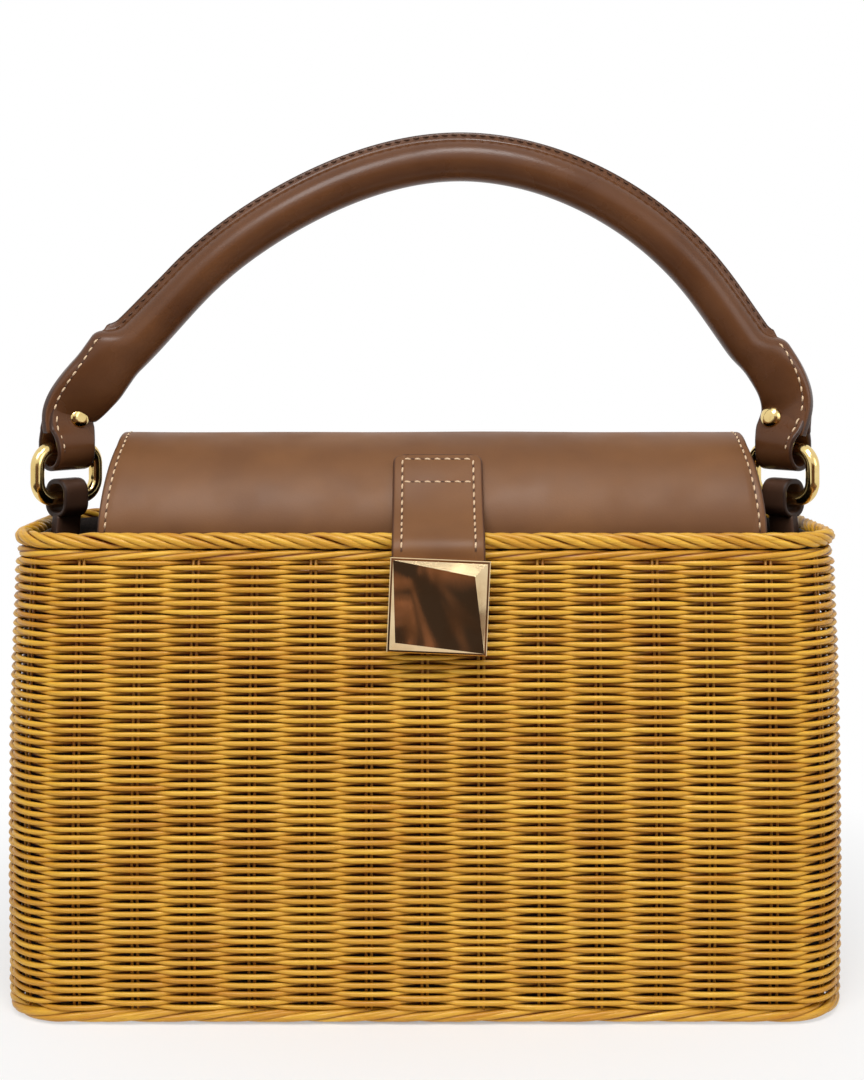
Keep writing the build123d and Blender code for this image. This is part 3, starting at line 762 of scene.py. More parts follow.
# %% Line of the handle
ring_place = 132.0 * mm
ring_turn = 52
upper_bar_z = 191.1 * mm
lower_bar_z = 172.9 * mm
handle_reach, spring_z, handle_rise = 115.5 * mm, 225.5 * mm, 71.5 * mm
route_shares = (
    (-0.95, 0.0), (-0.715, 0.405), (-0.44, 0.73), (0.11, 1.0), (0.64, 0.73), (0.87, 0.40), (1.05, 0.0),
)
tube_radius = 7.6 * mm
seam_height = 2.8 * mm
route = [(handle_reach * x, 0, spring_z + handle_rise * z) for x, z in route_shares]
left_tab = [(-132.0, 197.0), (-131.5, 203.0), (-126.8, 209.6), (-119.4, 216.6)]
right_tab = [(128.9, 215.2), (132.6, 207.0), (132.8, 202.0), (132.0, 197.0)]
left_tab, right_tab = ([(x * mm, 0, z * mm) for x, z in places] for places in (left_tab, right_tab))
handle_knots = np.array(left_tab + route + right_tab)
stations = 360
handle_line = smooth_line(handle_knots, stations)
knot_run = np.concatenate([[0], np.cumsum(np.linalg.norm(np.diff(handle_knots, axis=0), axis=1))])
station_run = np.linspace(0, knot_run[-1], stations)
arch_start, arch_end = knot_run[len(left_tab)], knot_run[-len(right_tab) - 1]
print("handle line:", round(knot_run[-1] / mm), "mm")

# %% [markdown]
# Each row of the table is a section: width and thickness in millimetres, squareness (2 is an oval and
# 5 nearly a rectangle), turn towards the front in degrees, and shift outwards in millimetres. The
# rows belong to places along the line, and between them the sizes change evenly and are smoothed.

# %% Sections of the handle
left_sizes = [
    (20.4, 4.6, 5.0, 52.0, -0.3),
    (21.6, 5.4, 4.5, 46.0, -0.2),
    (22.4, 7.4, 3.4, 30.0, 0.2),
    (22.3, 10.4, 2.7, 14.0, 1.0),
    (22.0, 12.8, 2.3, 5.0, 3.4),
    (16.4, 15.6, 2.0, 0.0, 0.6),
]
tube_size = (15.2, 15.2, 2.0, 0.0, 0.0)
right_sizes = [
    tube_size,
    (19.2, 12.6, 2.3, 5.0, 3.0),
    (19.2, 9.0, 3.0, 17.0, 2.3),
    (19.4, 6.2, 4.2, 34.0, 1.0),
    (19.4, 5.4, 4.5, 46.0, 0.2),
    (19.4, 4.6, 5.0, 52.0, 0.0),
]
size_table = np.array(left_sizes + [tube_size] * 2 + right_sizes)
size_run = [*knot_run[:4], arch_start - 2.5 * mm, arch_start + 5 * mm, arch_start + 30 * mm]
size_run += [arch_end - 30 * mm, arch_end - 4 * mm, arch_end + 2.5 * mm, *knot_run[-4:]]
handle_sizes = np.stack([np.interp(station_run, size_run, sizes) for sizes in size_table.T], -1)
soft = np.ones(5) / 5
padded = np.pad(handle_sizes, ((2, 2), (0, 0)), mode="edge")
handle_sizes = np.stack([np.convolve(sizes, soft, "valid") for sizes in padded.T], -1)
slope = np.gradient(handle_line, axis=0)
slope = slope / np.linalg.norm(slope, axis=1, keepdims=True)
turn = np.radians(handle_sizes[:, 3])[:, None]
handle_above = np.stack([-slope[:, 2], np.zeros(stations), slope[:, 0]], -1) * np.cos(turn)
handle_above = handle_above + np.array((0, -1, 0)) * np.sin(turn)
print("handle sections:", len(handle_sizes))

# %% [markdown]
# A ring of points is drawn at every place along the line. Near the top the points are closer together,
# so that the standing seam gets crisp sides, and the seam dies away where the tabs begin.

# %% Handle leather
seam_fade = 3 * mm
half_angles = np.radians((0, 4.5, 9, 11.5, 13, 13.9, 15, 17.5, 22, 28, 36, 45, 56, 68, 80, 90))
half_angles = np.concatenate([half_angles, math.pi - half_angles[::-1][1:]])
handle_angles = np.concatenate([half_angles, 2 * math.pi - half_angles[::-1][1:-1]])
seam_shape = np.interp(
    np.minimum(handle_angles, 2 * math.pi - handle_angles),
    np.radians((0, 4.5, 9, 11.5, 13, 13.9, 15, 17.5)), (0.93, 1, 1, 0.94, 0.75, 0.32, 0.09, 0),
)
_, handle_out, handle_front = directions(handle_line, False, handle_above)
width, thick, square = (handle_sizes[:, i, None] for i in range(3))
cosine, sine = np.cos(handle_angles), np.sin(handle_angles)
out_part = width / 2 * mm * np.sign(cosine) * np.abs(cosine) ** (2 / square) + handle_sizes[:, 4, None] * mm
front_part = thick / 2 * mm * np.sign(sine) * np.abs(sine) ** (2 / square)
from_tabs = np.minimum(station_run - arch_start, arch_end - station_run)
seam_stand = np.clip(from_tabs / seam_fade, 0, 1) * seam_height
out_part = out_part + seam_stand[:, None] * seam_shape
handle_rings = (
    handle_line[:, None, :] + handle_out[:, None, :] * out_part[..., None]
    + handle_front[:, None, :] * front_part[..., None]
)
flatness = np.clip((square - 2) / 2.5, 0, 1)
handle_edge = flatness * (np.abs(front_part) < 0.42 * thick / 2 * mm)
handle_edge = np.maximum(handle_edge, seam_stand[:, None] * seam_shape > 0.85 * seam_height)
handle_lofts, handle_edges = [(handle_rings, False)], [handle_edge]
print("handle rings:", handle_rings.shape[0], "of", handle_rings.shape[1], "points")

# %% [markdown]
# The end of each tab goes round the upper bar of its ring and comes back behind it. The strip leaves
# the tab with the tab's own directions, so front and back lie close. It is drawn in a side view, as
# pairs of distance from the tab's middle and height over the bar, and then bent to the tab's line.

# %% Folded ends
fold_width, fold_leather = 16.8 * mm, 2 * mm
fold_widening = (np.array((0.0, 3.0, 9.0, 20.0)) * mm, (1.0, 1.02, 1.17, 1.02))
fold_radius = 5.2
tab_end_rise = 7.9 * mm
tab_stations = 30


def outward(side, turn):
    """Level direction along a ring's bar, towards the outside and the front."""
    return np.array((side * math.cos(math.radians(turn)), -math.sin(math.radians(turn)), 0))


def folded_end(side):
    """The strip that leaves the tab, goes round the ring's upper bar and comes back behind it."""
    order = np.arange(tab_stations) if side < 0 else stations - 1 - np.arange(tab_stations)
    facing = np.array((-side * math.sin(math.radians(ring_turn)), -math.cos(math.radians(ring_turn)), 0))
    bar = np.array((side * ring_place, 0, upper_bar_z - 2 * mm))
    lifts = np.array((-8.0, 4.0)) * mm
    steps_up = np.linalg.norm(np.diff(handle_line[order], axis=0), axis=1)
    rises = np.concatenate([lifts, tab_end_rise + np.concatenate([[0], np.cumsum(steps_up)])])
    shifted = handle_line[order] + handle_out[order] * handle_sizes[order, 4, None] * mm
    middles = np.concatenate([[bar + np.array((0, 0, lift)) for lift in lifts], shifted])
    fronts = np.concatenate([[facing, facing], handle_front[order]])
    outs = np.concatenate([[outward(side, ring_turn)] * 2, handle_out[order]])

    def at(rise, values):
        """Places or directions at heights over the bar."""
        return np.stack([np.interp(rise, rises, values[:, axis]) for axis in range(3)], -1)

    half_view = [(1.2, 20.0), (1.7, 15.5), (2.1, 12.5), (3.2, 8.5), (4.9, 4.0), (fold_radius, 0.0)]
    below_bar = np.radians((-36, -72, -108, -144))
    round_view = [(fold_radius * math.cos(a), fold_radius * math.sin(a)) for a in below_bar]
    view = half_view + round_view + [(-away, up) for away, up in half_view[::-1]]
    away, rise = np.array(view).T * mm
    spots = smooth_line(at(rise, middles) + at(rise, fronts) * away[:, None], 90)
    spot_rise = np.interp(spots[:, 2], middles[:, 2], rises)
    above = spots - at(np.maximum(spot_rise, 3 * mm), middles)
    widen = np.interp(spot_rise, *fold_widening)
    section = strip_section(fold_width, fold_leather, 9)
    rings = sweep_section(section, spots, above, widen=widen)
    sewn = np.linspace(13.5, 0.5, 14) * mm
    sewn_half = fold_width / 2 * np.interp(sewn, *fold_widening)
    sewn_front = np.interp(-sewn, -rise[: len(half_view)], away[: len(half_view)]) + 0.9 * mm
    sewn_out = sewn_half - 2.4 * mm
    seam = at(sewn, middles) + at(sewn, fronts) * sewn_front[:, None] + at(sewn, outs) * sewn_out[:, None]
    return (rings, False), section[:, 2], seam, at(sewn, fronts)


fold_seams = []
for side in (-1, 1):
    loft, edge, seam, seam_front = folded_end(side)
    handle_lofts.append(loft)
    handle_edges.append(edge)
    fold_seams.append((seam, seam_front))
handle_leather = joined("handle_leather", handle_lofts, "leather", "handle", edge=handle_edges)
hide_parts("handle")
print("handle:", len(handle_leather.data.polygons), "faces")

# %% [markdown]
# The stitches of the seam on top are brown on both sides, and those of the tabs and their folds are
# cream along the outer edge. A tab's surface is curved, so the height of its stitches comes from the
# same formula as the section.

# %% Handle stitches
handle_stitch_lofts, handle_hole_lofts, seam_stitch_lofts = [], [], []
seam_side = 1.84 * mm
seam_row = tube_radius + 0.62 * seam_height
on_arch = (station_run > arch_start + seam_fade) & (station_run < arch_end - seam_fade)
for front in (1, -1):
    line = handle_line + handle_out * seam_row + handle_front * front * seam_side
    seam_stitch_lofts += stitch_row(line[on_arch], front * handle_front[on_arch])
tab_from, tab_until = 6.4 * mm, 1 * mm
tab_stitch_in = 2.6
left_sewn = (station_run > tab_from) & (station_run < arch_start - tab_until)
right_sewn = (station_run > arch_end + tab_until) & (station_run < knot_run[-1] - tab_from)
for tab in (left_sewn, right_sewn):
    across = (handle_sizes[:, 0] / 2 - tab_stitch_in) * mm
    cos_at = np.clip(across / (handle_sizes[:, 0] / 2 * mm), 0, 1) ** (handle_sizes[:, 2] / 2)
    sin_at = np.sqrt(1 - cos_at**2)
    front = handle_sizes[:, 1] / 2 * mm * sin_at ** (2 / handle_sizes[:, 2])
    across = across + handle_sizes[:, 4] * mm
    line = handle_line + handle_out * across[:, None] + handle_front * (front - 0.1 * mm)[:, None]
    handle_stitch_lofts += stitch_row(line[tab], (handle_front + 0.4 * handle_out)[tab])
    handle_hole_lofts += hole_row(line[tab], (handle_front + 0.4 * handle_out)[tab])
for seam, seam_front in fold_seams:
    handle_stitch_lofts += stitch_row(seam, seam_front)
    handle_hole_lofts += hole_row(seam, seam_front)
handle_holes = joined("handle_stitch_holes", handle_hole_lofts, "leather", "handle")
seam_stitches = joined("seam_stitches", seam_stitch_lofts, "leather", "handle")
handle_stitches = joined("handle_stitches", handle_stitch_lofts, "leather", "handle")
print("handle stitches:", len(handle_stitch_lofts))

# %% [markdown]
# ## Leather loops of the rings
# A dark leather loop holds each ring to the inside of the basket. The strip goes round the lower bar,
# comes together in a stem and spreads into a flat tail that is sewn inside the lining.

# %% Loops and tails
tail_foot_z, tail_top_z = 4.5 * mm, 162 * mm
tail_foot_in, tail_top_in = 5.6 * mm, 5.8 * mm
tail_thickness = 2.4
tail_squareness = 0.4


def lining_half_width(z):
    """Half of the lining's width between its two ends, at a height."""
    share = (z - tail_foot_z) / (tail_top_z - tail_foot_z)
    low = on_wall(0.25, tail_foot_z, -tail_foot_in)[0]
    high = on_wall(0.25, tail_top_z, -tail_top_in)[0]
    return low + (high - low) * share


def bar_loop(side, z, wide, tall, corner, leather, length):
    """A leather strip bent round a ring's bar."""
    level = np.cross((0, 0, 1), outward(side, ring_turn))
    corner_points = []
    for quarter, (sx, sz) in enumerate(((1, 1), (-1, 1), (-1, -1), (1, -1))):
        for step in range(9):
            angle = math.pi / 2 * (quarter + step / 8)
            x = sx * (wide / 2 - corner) + corner * math.cos(angle)
            up = sz * (tall / 2 - corner) + corner * math.sin(angle)
            corner_points.append(level * x + np.array((0, 0, up)))
    spots = np.array(corner_points)
    section = strip_section(length, leather, 9)
    rings = sweep_section(section, spots + np.array((side * ring_place, 0, z)), spots, closed=True)
    return (rings, True), section[:, 2]


def ring_holder(side):
    """The loop round a ring's lower bar, with its stem and its tail."""
    loft, edge = bar_loop(side, lower_bar_z, 10 * mm, 12.2 * mm, 4 * mm, 2 * mm, 11 * mm)
    tail_x = [lining_half_width(z) - 1.6 * mm for z in (138 * mm, 122 * mm)]
    places = [
        (side * ring_place, 0, 166.8 * mm),
        (side * (0.75 * ring_place + 0.25 * tail_x[0]), 0, 158 * mm),
        (side * (0.3 * ring_place + 0.7 * tail_x[0]), 0, 147 * mm),
        (side * tail_x[0], 0, 138 * mm),
        (side * tail_x[1], 0, 122 * mm),
    ]
    line = smooth_line(places, 30)
    share = np.linspace(0, 1, 30)
    wide = np.interp(share, (0, 0.6, 1), (11, 20, 20)) * mm
    thick = np.interp(share, (0, 0.6, 1), (4.4, tail_thickness, tail_thickness)) * mm
    turn = np.interp(share, (0, 0.6, 1), (ring_turn, 90, 90))
    above = np.array([outward(side, t) for t in turn])
    _, out, front = directions(line, False, above)
    angles = 2 * math.pi * np.arange(36) / 36
    cosine, sine = np.cos(angles), np.sin(angles)
    out_part = wide[:, None] / 2 * np.sign(cosine) * np.abs(cosine) ** tail_squareness
    front_part = thick[:, None] / 2 * np.sign(sine) * np.abs(sine) ** tail_squareness
    rings = line[:, None, :] + out[:, None, :] * out_part[..., None]
    rings = rings + front[:, None, :] * front_part[..., None]
    stem_edge = np.abs(sine) < 0.2
    name = "left" if side < 0 else "right"
    piece = joined(f"{name}_ring_loop", [loft, (rings, False)], "leather", "bag", edge=[edge, stem_edge])
    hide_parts(f"{name}_chape")
    return piece


ring_holders = [ring_holder(side) for side in (-1, 1)]
print("ring loops:", [piece.name for piece in ring_holders])

# %% [markdown]
# ## The lining
# A dark cotton pouch stands inside the basket. It is a sheet sewn into a box, so it has a thickness,
# a folded top edge and soft creases. The creases are sums of a few waves, which fits a cloth that is
# held all round and can't swing, so no simulation is needed.

# %% Lining cloth
lining_low, lining_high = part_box("lining")
cloth = 0.7 * mm
lining_in = 4.6 * mm
lining_air = 0.2 * mm
pouch_points = 200
pouch_levels = 40
outer_rings, inner_rings = [], []
for level in np.linspace(0, 1, pouch_levels):
    z = lining_low[2] + lining_air + (lining_high[2] - lining_low[2] - 2 * lining_air) * level
    ring = on_wall((np.arange(pouch_points) + 0.5) / pouch_points, z, -lining_in)
    angle = np.arctan2(ring[:, 1], ring[:, 0])
    fold = 0.5 + 0.25 * np.sin(9 * angle + 5 * level) + 0.25 * np.sin(17 * angle - 11 * level + 1)
    inset = (0.2 + 1.3 * fold * math.sin(math.pi * min(1, level * 1.02)) ** 0.7) * mm
    size = np.linalg.norm(ring[:, :2], axis=1, keepdims=True)
    outer = ring.copy()
    outer[:, :2] *= 1 - inset[:, None] / size
    inner = ring.copy()
    inner[:, :2] *= 1 - (inset[:, None] + cloth) / size
    inner[:, 2] += cloth if level == 0 else 0.0
    outer_rings.append(outer)
    inner_rings.append(inner)
lining_rings = np.array(outer_rings + inner_rings[::-1])
lining_cloth = joined("lining_cloth", [(lining_rings, False)], "lining", "bag")
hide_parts("lining")
print("lining:", len(lining_cloth.data.polygons), "faces")

# %% [markdown]
# ## Shared effects
# Several finishes need the same kinds of detail: streaks along a rod or a thread, the fine pebbles of
# leather, and wear where hands and edges rub. Each is a node group with its own named inputs, so a
# material only sets how large and how strong it is. The groups put out masks and heights, and the
# shader itself stays in the material.

# %% Node helpers
def add(tree, kind, **settings):
    """A new node with its settings."""
    node = tree.nodes.new(kind)
    for key, value in settings.items():
        setattr(node, key, value)
    return node


def feed(tree, socket, value):
    """Link a node's output to a socket, or set a plain value on it."""
    if isinstance(value, bpy.types.NodeSocket):
        tree.links.new(value, socket)
    else:
        socket.default_value = value


def mixed(tree, factor, first, second):
    """A colour mix: each input is a socket or a colour."""
    node = add(tree, "ShaderNodeMix", data_type="RGBA")
    for socket, value in zip((node.inputs[0], node.inputs[6], node.inputs[7]), (factor, first, second)):
        feed(tree, socket, value)
    return node.outputs[2]


def sums(tree, operation, first, second, clamp=False):
    """A sum or product of two sockets or numbers."""
    node = add(tree, "ShaderNodeMath", operation=operation, use_clamp=clamp)
    for socket, value in zip(node.inputs, (first, second)):
        feed(tree, socket, value)
    return node.outputs[0]


def noise(tree, place, scale, detail):
    """Soft noise at a place: the scale is a socket or a number."""
    node = add(tree, "ShaderNodeTexNoise")
    node.inputs["Detail"].default_value = detail
    feed(tree, node.inputs["Scale"], scale)
    tree.links.new(place, node.inputs["Vector"])
    return node.outputs[0]


def mapped(tree, value, low, high, to_low=0.0, to_high=1.0):
    """A value moved from one range to another and kept inside it."""
    node = add(tree, "ShaderNodeMapRange", clamp=True)
    tree.links.new(value, node.inputs[0])
    for socket, number in zip(list(node.inputs)[1:5], (low, high, to_low, to_high)):
        socket.default_value = number
    return node.outputs[0]


def tinted(red, green, blue):
    """A colour written as screen values from 0 to 255."""
    levels = [c / 255 for c in (red, green, blue)]
    return [c / 12.92 if c <= 0.04045 else ((c + 0.055) / 1.055) ** 2.4 for c in levels] + [1.0]


def group_of(name, inputs, outputs):
    """An empty node group with named inputs and outputs."""
    tree = bpy.data.node_groups.new(name, "ShaderNodeTree")
    for label, value in inputs:
        socket = tree.interface.new_socket(label, in_out="INPUT", socket_type="NodeSocketFloat")
        socket.default_value = value
    for label in outputs:
        tree.interface.new_socket(label, in_out="OUTPUT", socket_type="NodeSocketFloat")
    return tree, add(tree, "NodeGroupInput"), add(tree, "NodeGroupOutput")


# %% [markdown]
# Streaks are noise that is squeezed in height and drawn out sideways, because the rods of the wall lie
# level. A second, broad noise gives patches that several rods share.

# %% Streaks along a rod
streaks, given, taken = group_of(
    "fibre_streaks", [("Across", 900.0), ("Along", 60.0)], ["Streak", "Patch"],
)
place = add(streaks, "ShaderNodeTexCoord").outputs["Object"]
stretch = add(streaks, "ShaderNodeCombineXYZ")
for socket, label in zip(stretch.inputs, ("Along", "Along", "Across")):
    streaks.links.new(given.outputs[label], socket)
scaled = add(streaks, "ShaderNodeVectorMath", operation="MULTIPLY")
streaks.links.new(place, scaled.inputs[0])
streaks.links.new(stretch.outputs[0], scaled.inputs[1])
fine = noise(streaks, scaled.outputs[0], 1.0, 3.0)
broad = noise(streaks, place, 38.0, 2.0)
streaks.links.new(mapped(streaks, fine, 0.32, 0.68), taken.inputs["Streak"])
streaks.links.new(mapped(streaks, broad, 0.35, 0.65), taken.inputs["Patch"])
print("streaks:", len(streaks.nodes), "nodes")

# %% [markdown]
# Leather shows pebbles with pores between them. Smooth cells give the pebbles, fine noise the pores,
# and a slow noise the clouds of lighter and darker tan.

# %% Grain of leather
grain, given, taken = group_of(
    "leather_grain", [("Pebbles", 1500.0), ("Mottle", 45.0)], ["Height", "Mottle"],
)
place = add(grain, "ShaderNodeTexCoord").outputs["Object"]
pebble = add(grain, "ShaderNodeTexVoronoi", feature="SMOOTH_F1")
grain.links.new(place, pebble.inputs["Vector"])
grain.links.new(given.outputs["Pebbles"], pebble.inputs["Scale"])
pore = noise(grain, place, given.outputs["Pebbles"], 4.0)
cloud = noise(grain, place, given.outputs["Mottle"], 3.0)
raised = sums(grain, "ADD", sums(grain, "MULTIPLY", pebble.outputs["Distance"], 0.7), pore)
grain.links.new(raised, taken.inputs["Height"])
grain.links.new(mapped(grain, cloud, 0.35, 0.65), taken.inputs["Mottle"])
print("grain:", len(grain.nodes), "nodes")

# %% [markdown]
# Hands leave smudges, which are patches of noise, and rubbing leaves hair scratches, which are noise
# that is squeezed across and drawn out along them.

# %% Wear and smudges
wear, given, taken = group_of(
    "handling_wear", [("Patches", 70.0), ("Scratches", 900.0)], ["Smudge", "Scratch"],
)
place = add(wear, "ShaderNodeTexCoord").outputs["Object"]
smudge = noise(wear, place, given.outputs["Patches"], 5.0)
squeeze = add(wear, "ShaderNodeVectorMath", operation="MULTIPLY")
squeeze.inputs[1].default_value = (1.0, 0.15, 0.3)
wear.links.new(place, squeeze.inputs[0])
hair = noise(wear, squeeze.outputs[0], given.outputs["Scratches"], 2.0)
wear.links.new(mapped(wear, smudge, 0.42, 0.7), taken.inputs["Smudge"])
wear.links.new(mapped(wear, hair, 0.56, 0.72), taken.inputs["Scratch"])
print("shared effects:", [tree.name for tree in bpy.data.node_groups])

# %% [markdown]
# ## Finishes
# Each finish starts from the same Principled shader. Numbers that are the same all over are set on the
# shader, and only what changes over the surface comes from nodes: colour, roughness and bump.

# %% A finish to start from
def finish(name, **values):
    """A new material, its nodes and its shader, with plain values set on the shader."""
    material = bpy.data.materials.new(name)
    material.use_nodes = True
    tree = material.node_tree
    shader = tree.nodes["Principled BSDF"]
    for key, value in values.items():
        shader.inputs[key.replace("_", " ")].default_value = value
    return material, tree, shader


def place_group(tree, group, **inputs):
    """A shared effect placed in a material."""
    node = add(tree, "ShaderNodeGroup", node_tree=group)
    for key, value in inputs.items():
        node.inputs[key].default_value = value
    return node


def bumped(tree, shader, height, strength, distance):
    """Relief from a height, without moving any point."""
    bump = add(tree, "ShaderNodeBump")
    bump.inputs["Strength"].default_value = strength
    bump.inputs["Distance"].default_value = distance
    tree.links.new(height, bump.inputs["Height"])
    tree.links.new(bump.outputs[0], shader.inputs["Normal"])


def stored(tree, name):
    """A value that the mesh stores on its points."""
    return add(tree, "ShaderNodeAttribute", attribute_name=name).outputs["Fac"]


def wear_it(piece, material):
    """Give a piece one finish in place of any other."""
    piece.data.materials.clear()
    piece.data.materials.append(material)


# %% [markdown]
# The wicker is dyed a warm honey yellow. Every rod has its own tone, and streaks run along it under a
# thin varnish. The hollows behind the rods that stand out get a painted shade of dark brown.

# %% Honey wicker
def wicker_finish(name, light, deep, painted_hollow_shade, shine):
    material, tree, shader = finish(name, Coat_Roughness=0.25, Specular_IOR_Level=0.35)
    shader.inputs["Coat Weight"].default_value = shine
    streak = place_group(tree, streaks, Across=1400.0, Along=90.0)
    tone = mixed(tree, stored(tree, "tint"), deep, light)
    tone = mixed(tree, mapped(tree, streak.outputs["Streak"], 0, 1, 0.0, 0.55), tone, deep)
    tone = mixed(tree, mapped(tree, streak.outputs["Patch"], 0, 1, 0.0, 0.30), tone, light)
    # painted shade: the hollows behind the rods turn dark brown
    tone = mixed(tree, mapped(tree, stored(tree, "outward"), 0.26, 0.76), painted_hollow_shade, tone)
    tree.links.new(tone, shader.inputs["Base Color"])
    rough = mapped(tree, streak.outputs["Streak"], 0, 1, 0.36, 0.55)
    tree.links.new(rough, shader.inputs["Roughness"])
    bumped(tree, shader, streak.outputs["Streak"], 0.35, 0.12 * mm)
    return material


honey_wicker = wicker_finish(
    "honey_wicker", tinted(229, 180, 60), tinted(186, 124, 20), tinted(104, 34, 3), shine=0.16,
)
wicker_pieces = wall_bands + [rim_rods, wale_rods, foot_rods, woven_base, uprights]
for piece in wicker_pieces:
    wear_it(piece, honey_wicker)
print("wicker pieces:", len(wicker_pieces))

# %% [markdown]
# The leather is smooth tan calf with a very fine grain. Cut edges are painted a darker brown, and the
# colour shifts a little in clouds. The handle and the loops of the rings are the same leather, darker.

# %% Leather
def leather_finish(name, light, deep, edge_paint, low_rough, high_rough):
    material, tree, shader = finish(name, Specular_IOR_Level=0.28)
    pebbles = place_group(tree, grain, Pebbles=1700.0, Mottle=38.0)
    rubbed = place_group(tree, wear, Patches=55.0, Scratches=600.0)
    tone = mixed(tree, pebbles.outputs["Mottle"], deep, light)
    tone = mixed(tree, mapped(tree, pebbles.outputs["Height"], 0.55, 1.1, 0.0, 0.22), tone, deep)
    tone = mixed(tree, sums(tree, "MULTIPLY", stored(tree, "edge"), 0.9), tone, edge_paint)
    tree.links.new(tone, shader.inputs["Base Color"])
    rough = mapped(tree, rubbed.outputs["Smudge"], 0, 1, low_rough, high_rough)
    tree.links.new(rough, shader.inputs["Roughness"])
    bumped(tree, shader, pebbles.outputs["Height"], 0.22, 0.10 * mm)
    return material


tan_leather = leather_finish(
    "tan_leather", tinted(119, 78, 43), tinted(105, 67, 36), tinted(72, 42, 25), 0.44, 0.56,
)
handle_tan = leather_finish(
    "handle_tan", tinted(98, 61, 35), tinted(84, 50, 27), tinted(50, 28, 16), 0.25, 0.34,
)
loop_brown = leather_finish(
    "loop_brown", tinted(84, 56, 40), tinted(66, 43, 30), tinted(40, 24, 16), 0.45, 0.6,
)
for piece in (flap_leather, closing_strap):
    wear_it(piece, tan_leather)
wear_it(handle_leather, handle_tan)
for piece in ring_holders:
    wear_it(piece, loop_brown)
print("leathers:", tan_leather.name, handle_tan.name, loop_brown.name)

# %% [markdown]
# Waxed thread has two finishes here. The brown one goes on the stitches of the handle's seam and on the
# tubes in the awl holes, where it is painted shade; the cream one goes on the rows that show. Both are
# twisted, so fine streaks run over them.

# %% Threads
brown_stitch_and_hole_shade, tree, shader = finish("brown_stitch_and_hole_shade", Roughness=0.7)
twist = place_group(tree, streaks, Across=2600.0, Along=2600.0)
tone = mixed(tree, twist.outputs["Streak"], tinted(64, 38, 22), tinted(96, 62, 38))
tree.links.new(tone, shader.inputs["Base Color"])
bumped(tree, shader, twist.outputs["Streak"], 0.5, 0.15 * mm)
# painted shade: the tubes in the awl holes are drawn in this brown
for piece in (seam_stitches, flap_holes, strap_holes, handle_holes):
    wear_it(piece, brown_stitch_and_hole_shade)

thread_cream, tree, shader = finish("thread_cream")
twist = place_group(tree, streaks, Across=2600.0, Along=2600.0)
tone = mixed(tree, twist.outputs["Streak"], tinted(206, 172, 132), tinted(238, 212, 178))
tree.links.new(tone, shader.inputs["Base Color"])
tree.links.new(mapped(tree, twist.outputs["Streak"], 0, 1, 0.55, 0.75), shader.inputs["Roughness"])
bumped(tree, shader, twist.outputs["Streak"], 0.5, 0.15 * mm)
for piece in (flap_stitches, strap_stitches, handle_stitches):
    wear_it(piece, thread_cream)
print("threads:", brown_stitch_and_hole_shade.name, thread_cream.name)

# %% [markdown]
# The metal is polished pale gold. Real plating is never perfectly even, so faint smudges make it a
# little rougher in places and hair scratches break the reflections. The clasp is paler than the rings.

# %% Gold
def gold_finish(name, light, deep, low_rough, high_rough):
    material, tree, shader = finish(name, Metallic=1.0)
    rubbed = place_group(tree, wear, Patches=90.0, Scratches=1400.0)
    tree.links.new(mixed(tree, rubbed.outputs["Smudge"], light, deep), shader.inputs["Base Color"])
    rough = mapped(tree, rubbed.outputs["Smudge"], 0, 1, low_rough, high_rough)
    tree.links.new(rough, shader.inputs["Roughness"])
    bumped(tree, shader, rubbed.outputs["Scratch"], 0.05, 0.02 * mm)
    return material


pale_gold = gold_finish("pale_gold", tinted(232, 205, 140), tinted(214, 182, 112), 0.12, 0.24)
clasp_gold = gold_finish("clasp_gold", tinted(226, 200, 158), tinted(205, 176, 132), 0.05, 0.12)
for name in ("left_ring", "right_ring", "left_rivet", "right_rivet", "snap_stud", "snap_socket"):
    wear_it(frame["nodes"][name], pale_gold)
wear_it(clasp, clasp_gold)
print("golds:", pale_gold.name, clasp_gold.name)

# %% [markdown]
# The lining and the handle's core only show when the bag is open or taken apart, but they get a finish
# of their own too: dark cotton with crossing threads, and pale felt.

# %% Lining and core
lining_dark, tree, shader = finish("lining_dark", Roughness=0.9)
threads = place_group(tree, streaks, Across=2200.0, Along=1300.0)
tone = mixed(tree, threads.outputs["Streak"], tinted(26, 19, 16), tinted(52, 40, 34))
tree.links.new(tone, shader.inputs["Base Color"])
bumped(tree, shader, threads.outputs["Streak"], 0.4, 0.2 * mm)
wear_it(lining_cloth, lining_dark)

core_felt, tree, shader = finish("core_felt", Roughness=0.95)
fluff = place_group(tree, grain, Pebbles=900.0, Mottle=60.0)
tone = mixed(tree, fluff.outputs["Mottle"], tinted(196, 188, 174), tinted(222, 216, 204))
tree.links.new(tone, shader.inputs["Base Color"])
bumped(tree, shader, fluff.outputs["Height"], 0.5, 0.3 * mm)
wear_it(frame["nodes"]["handle_core"], core_felt)
print("materials:", len(bpy.data.materials))

# %% [markdown]
# ## Studio
# The bag stands on a pale floor that runs into a white background. Close to the bag the floor is an
# ordinary matt surface, so the shadow stays, and further out camera and mirror rays see plain white.
# Soft light comes from a large lamp above the camera, a fill from the right and an even sky.

# %% Floor
def plainly_seen(tree):
    """1 for what the camera sees, straight, in a mirror or through a clear thing, and 0 for light."""
    path = add(tree, "ShaderNodeLightPath")
    seen = sums(tree, "ADD", path.outputs["Is Camera Ray"], path.outputs["Is Glossy Ray"], clamp=True)
    return sums(tree, "ADD", seen, path.outputs["Is Transmission Ray"], clamp=True)


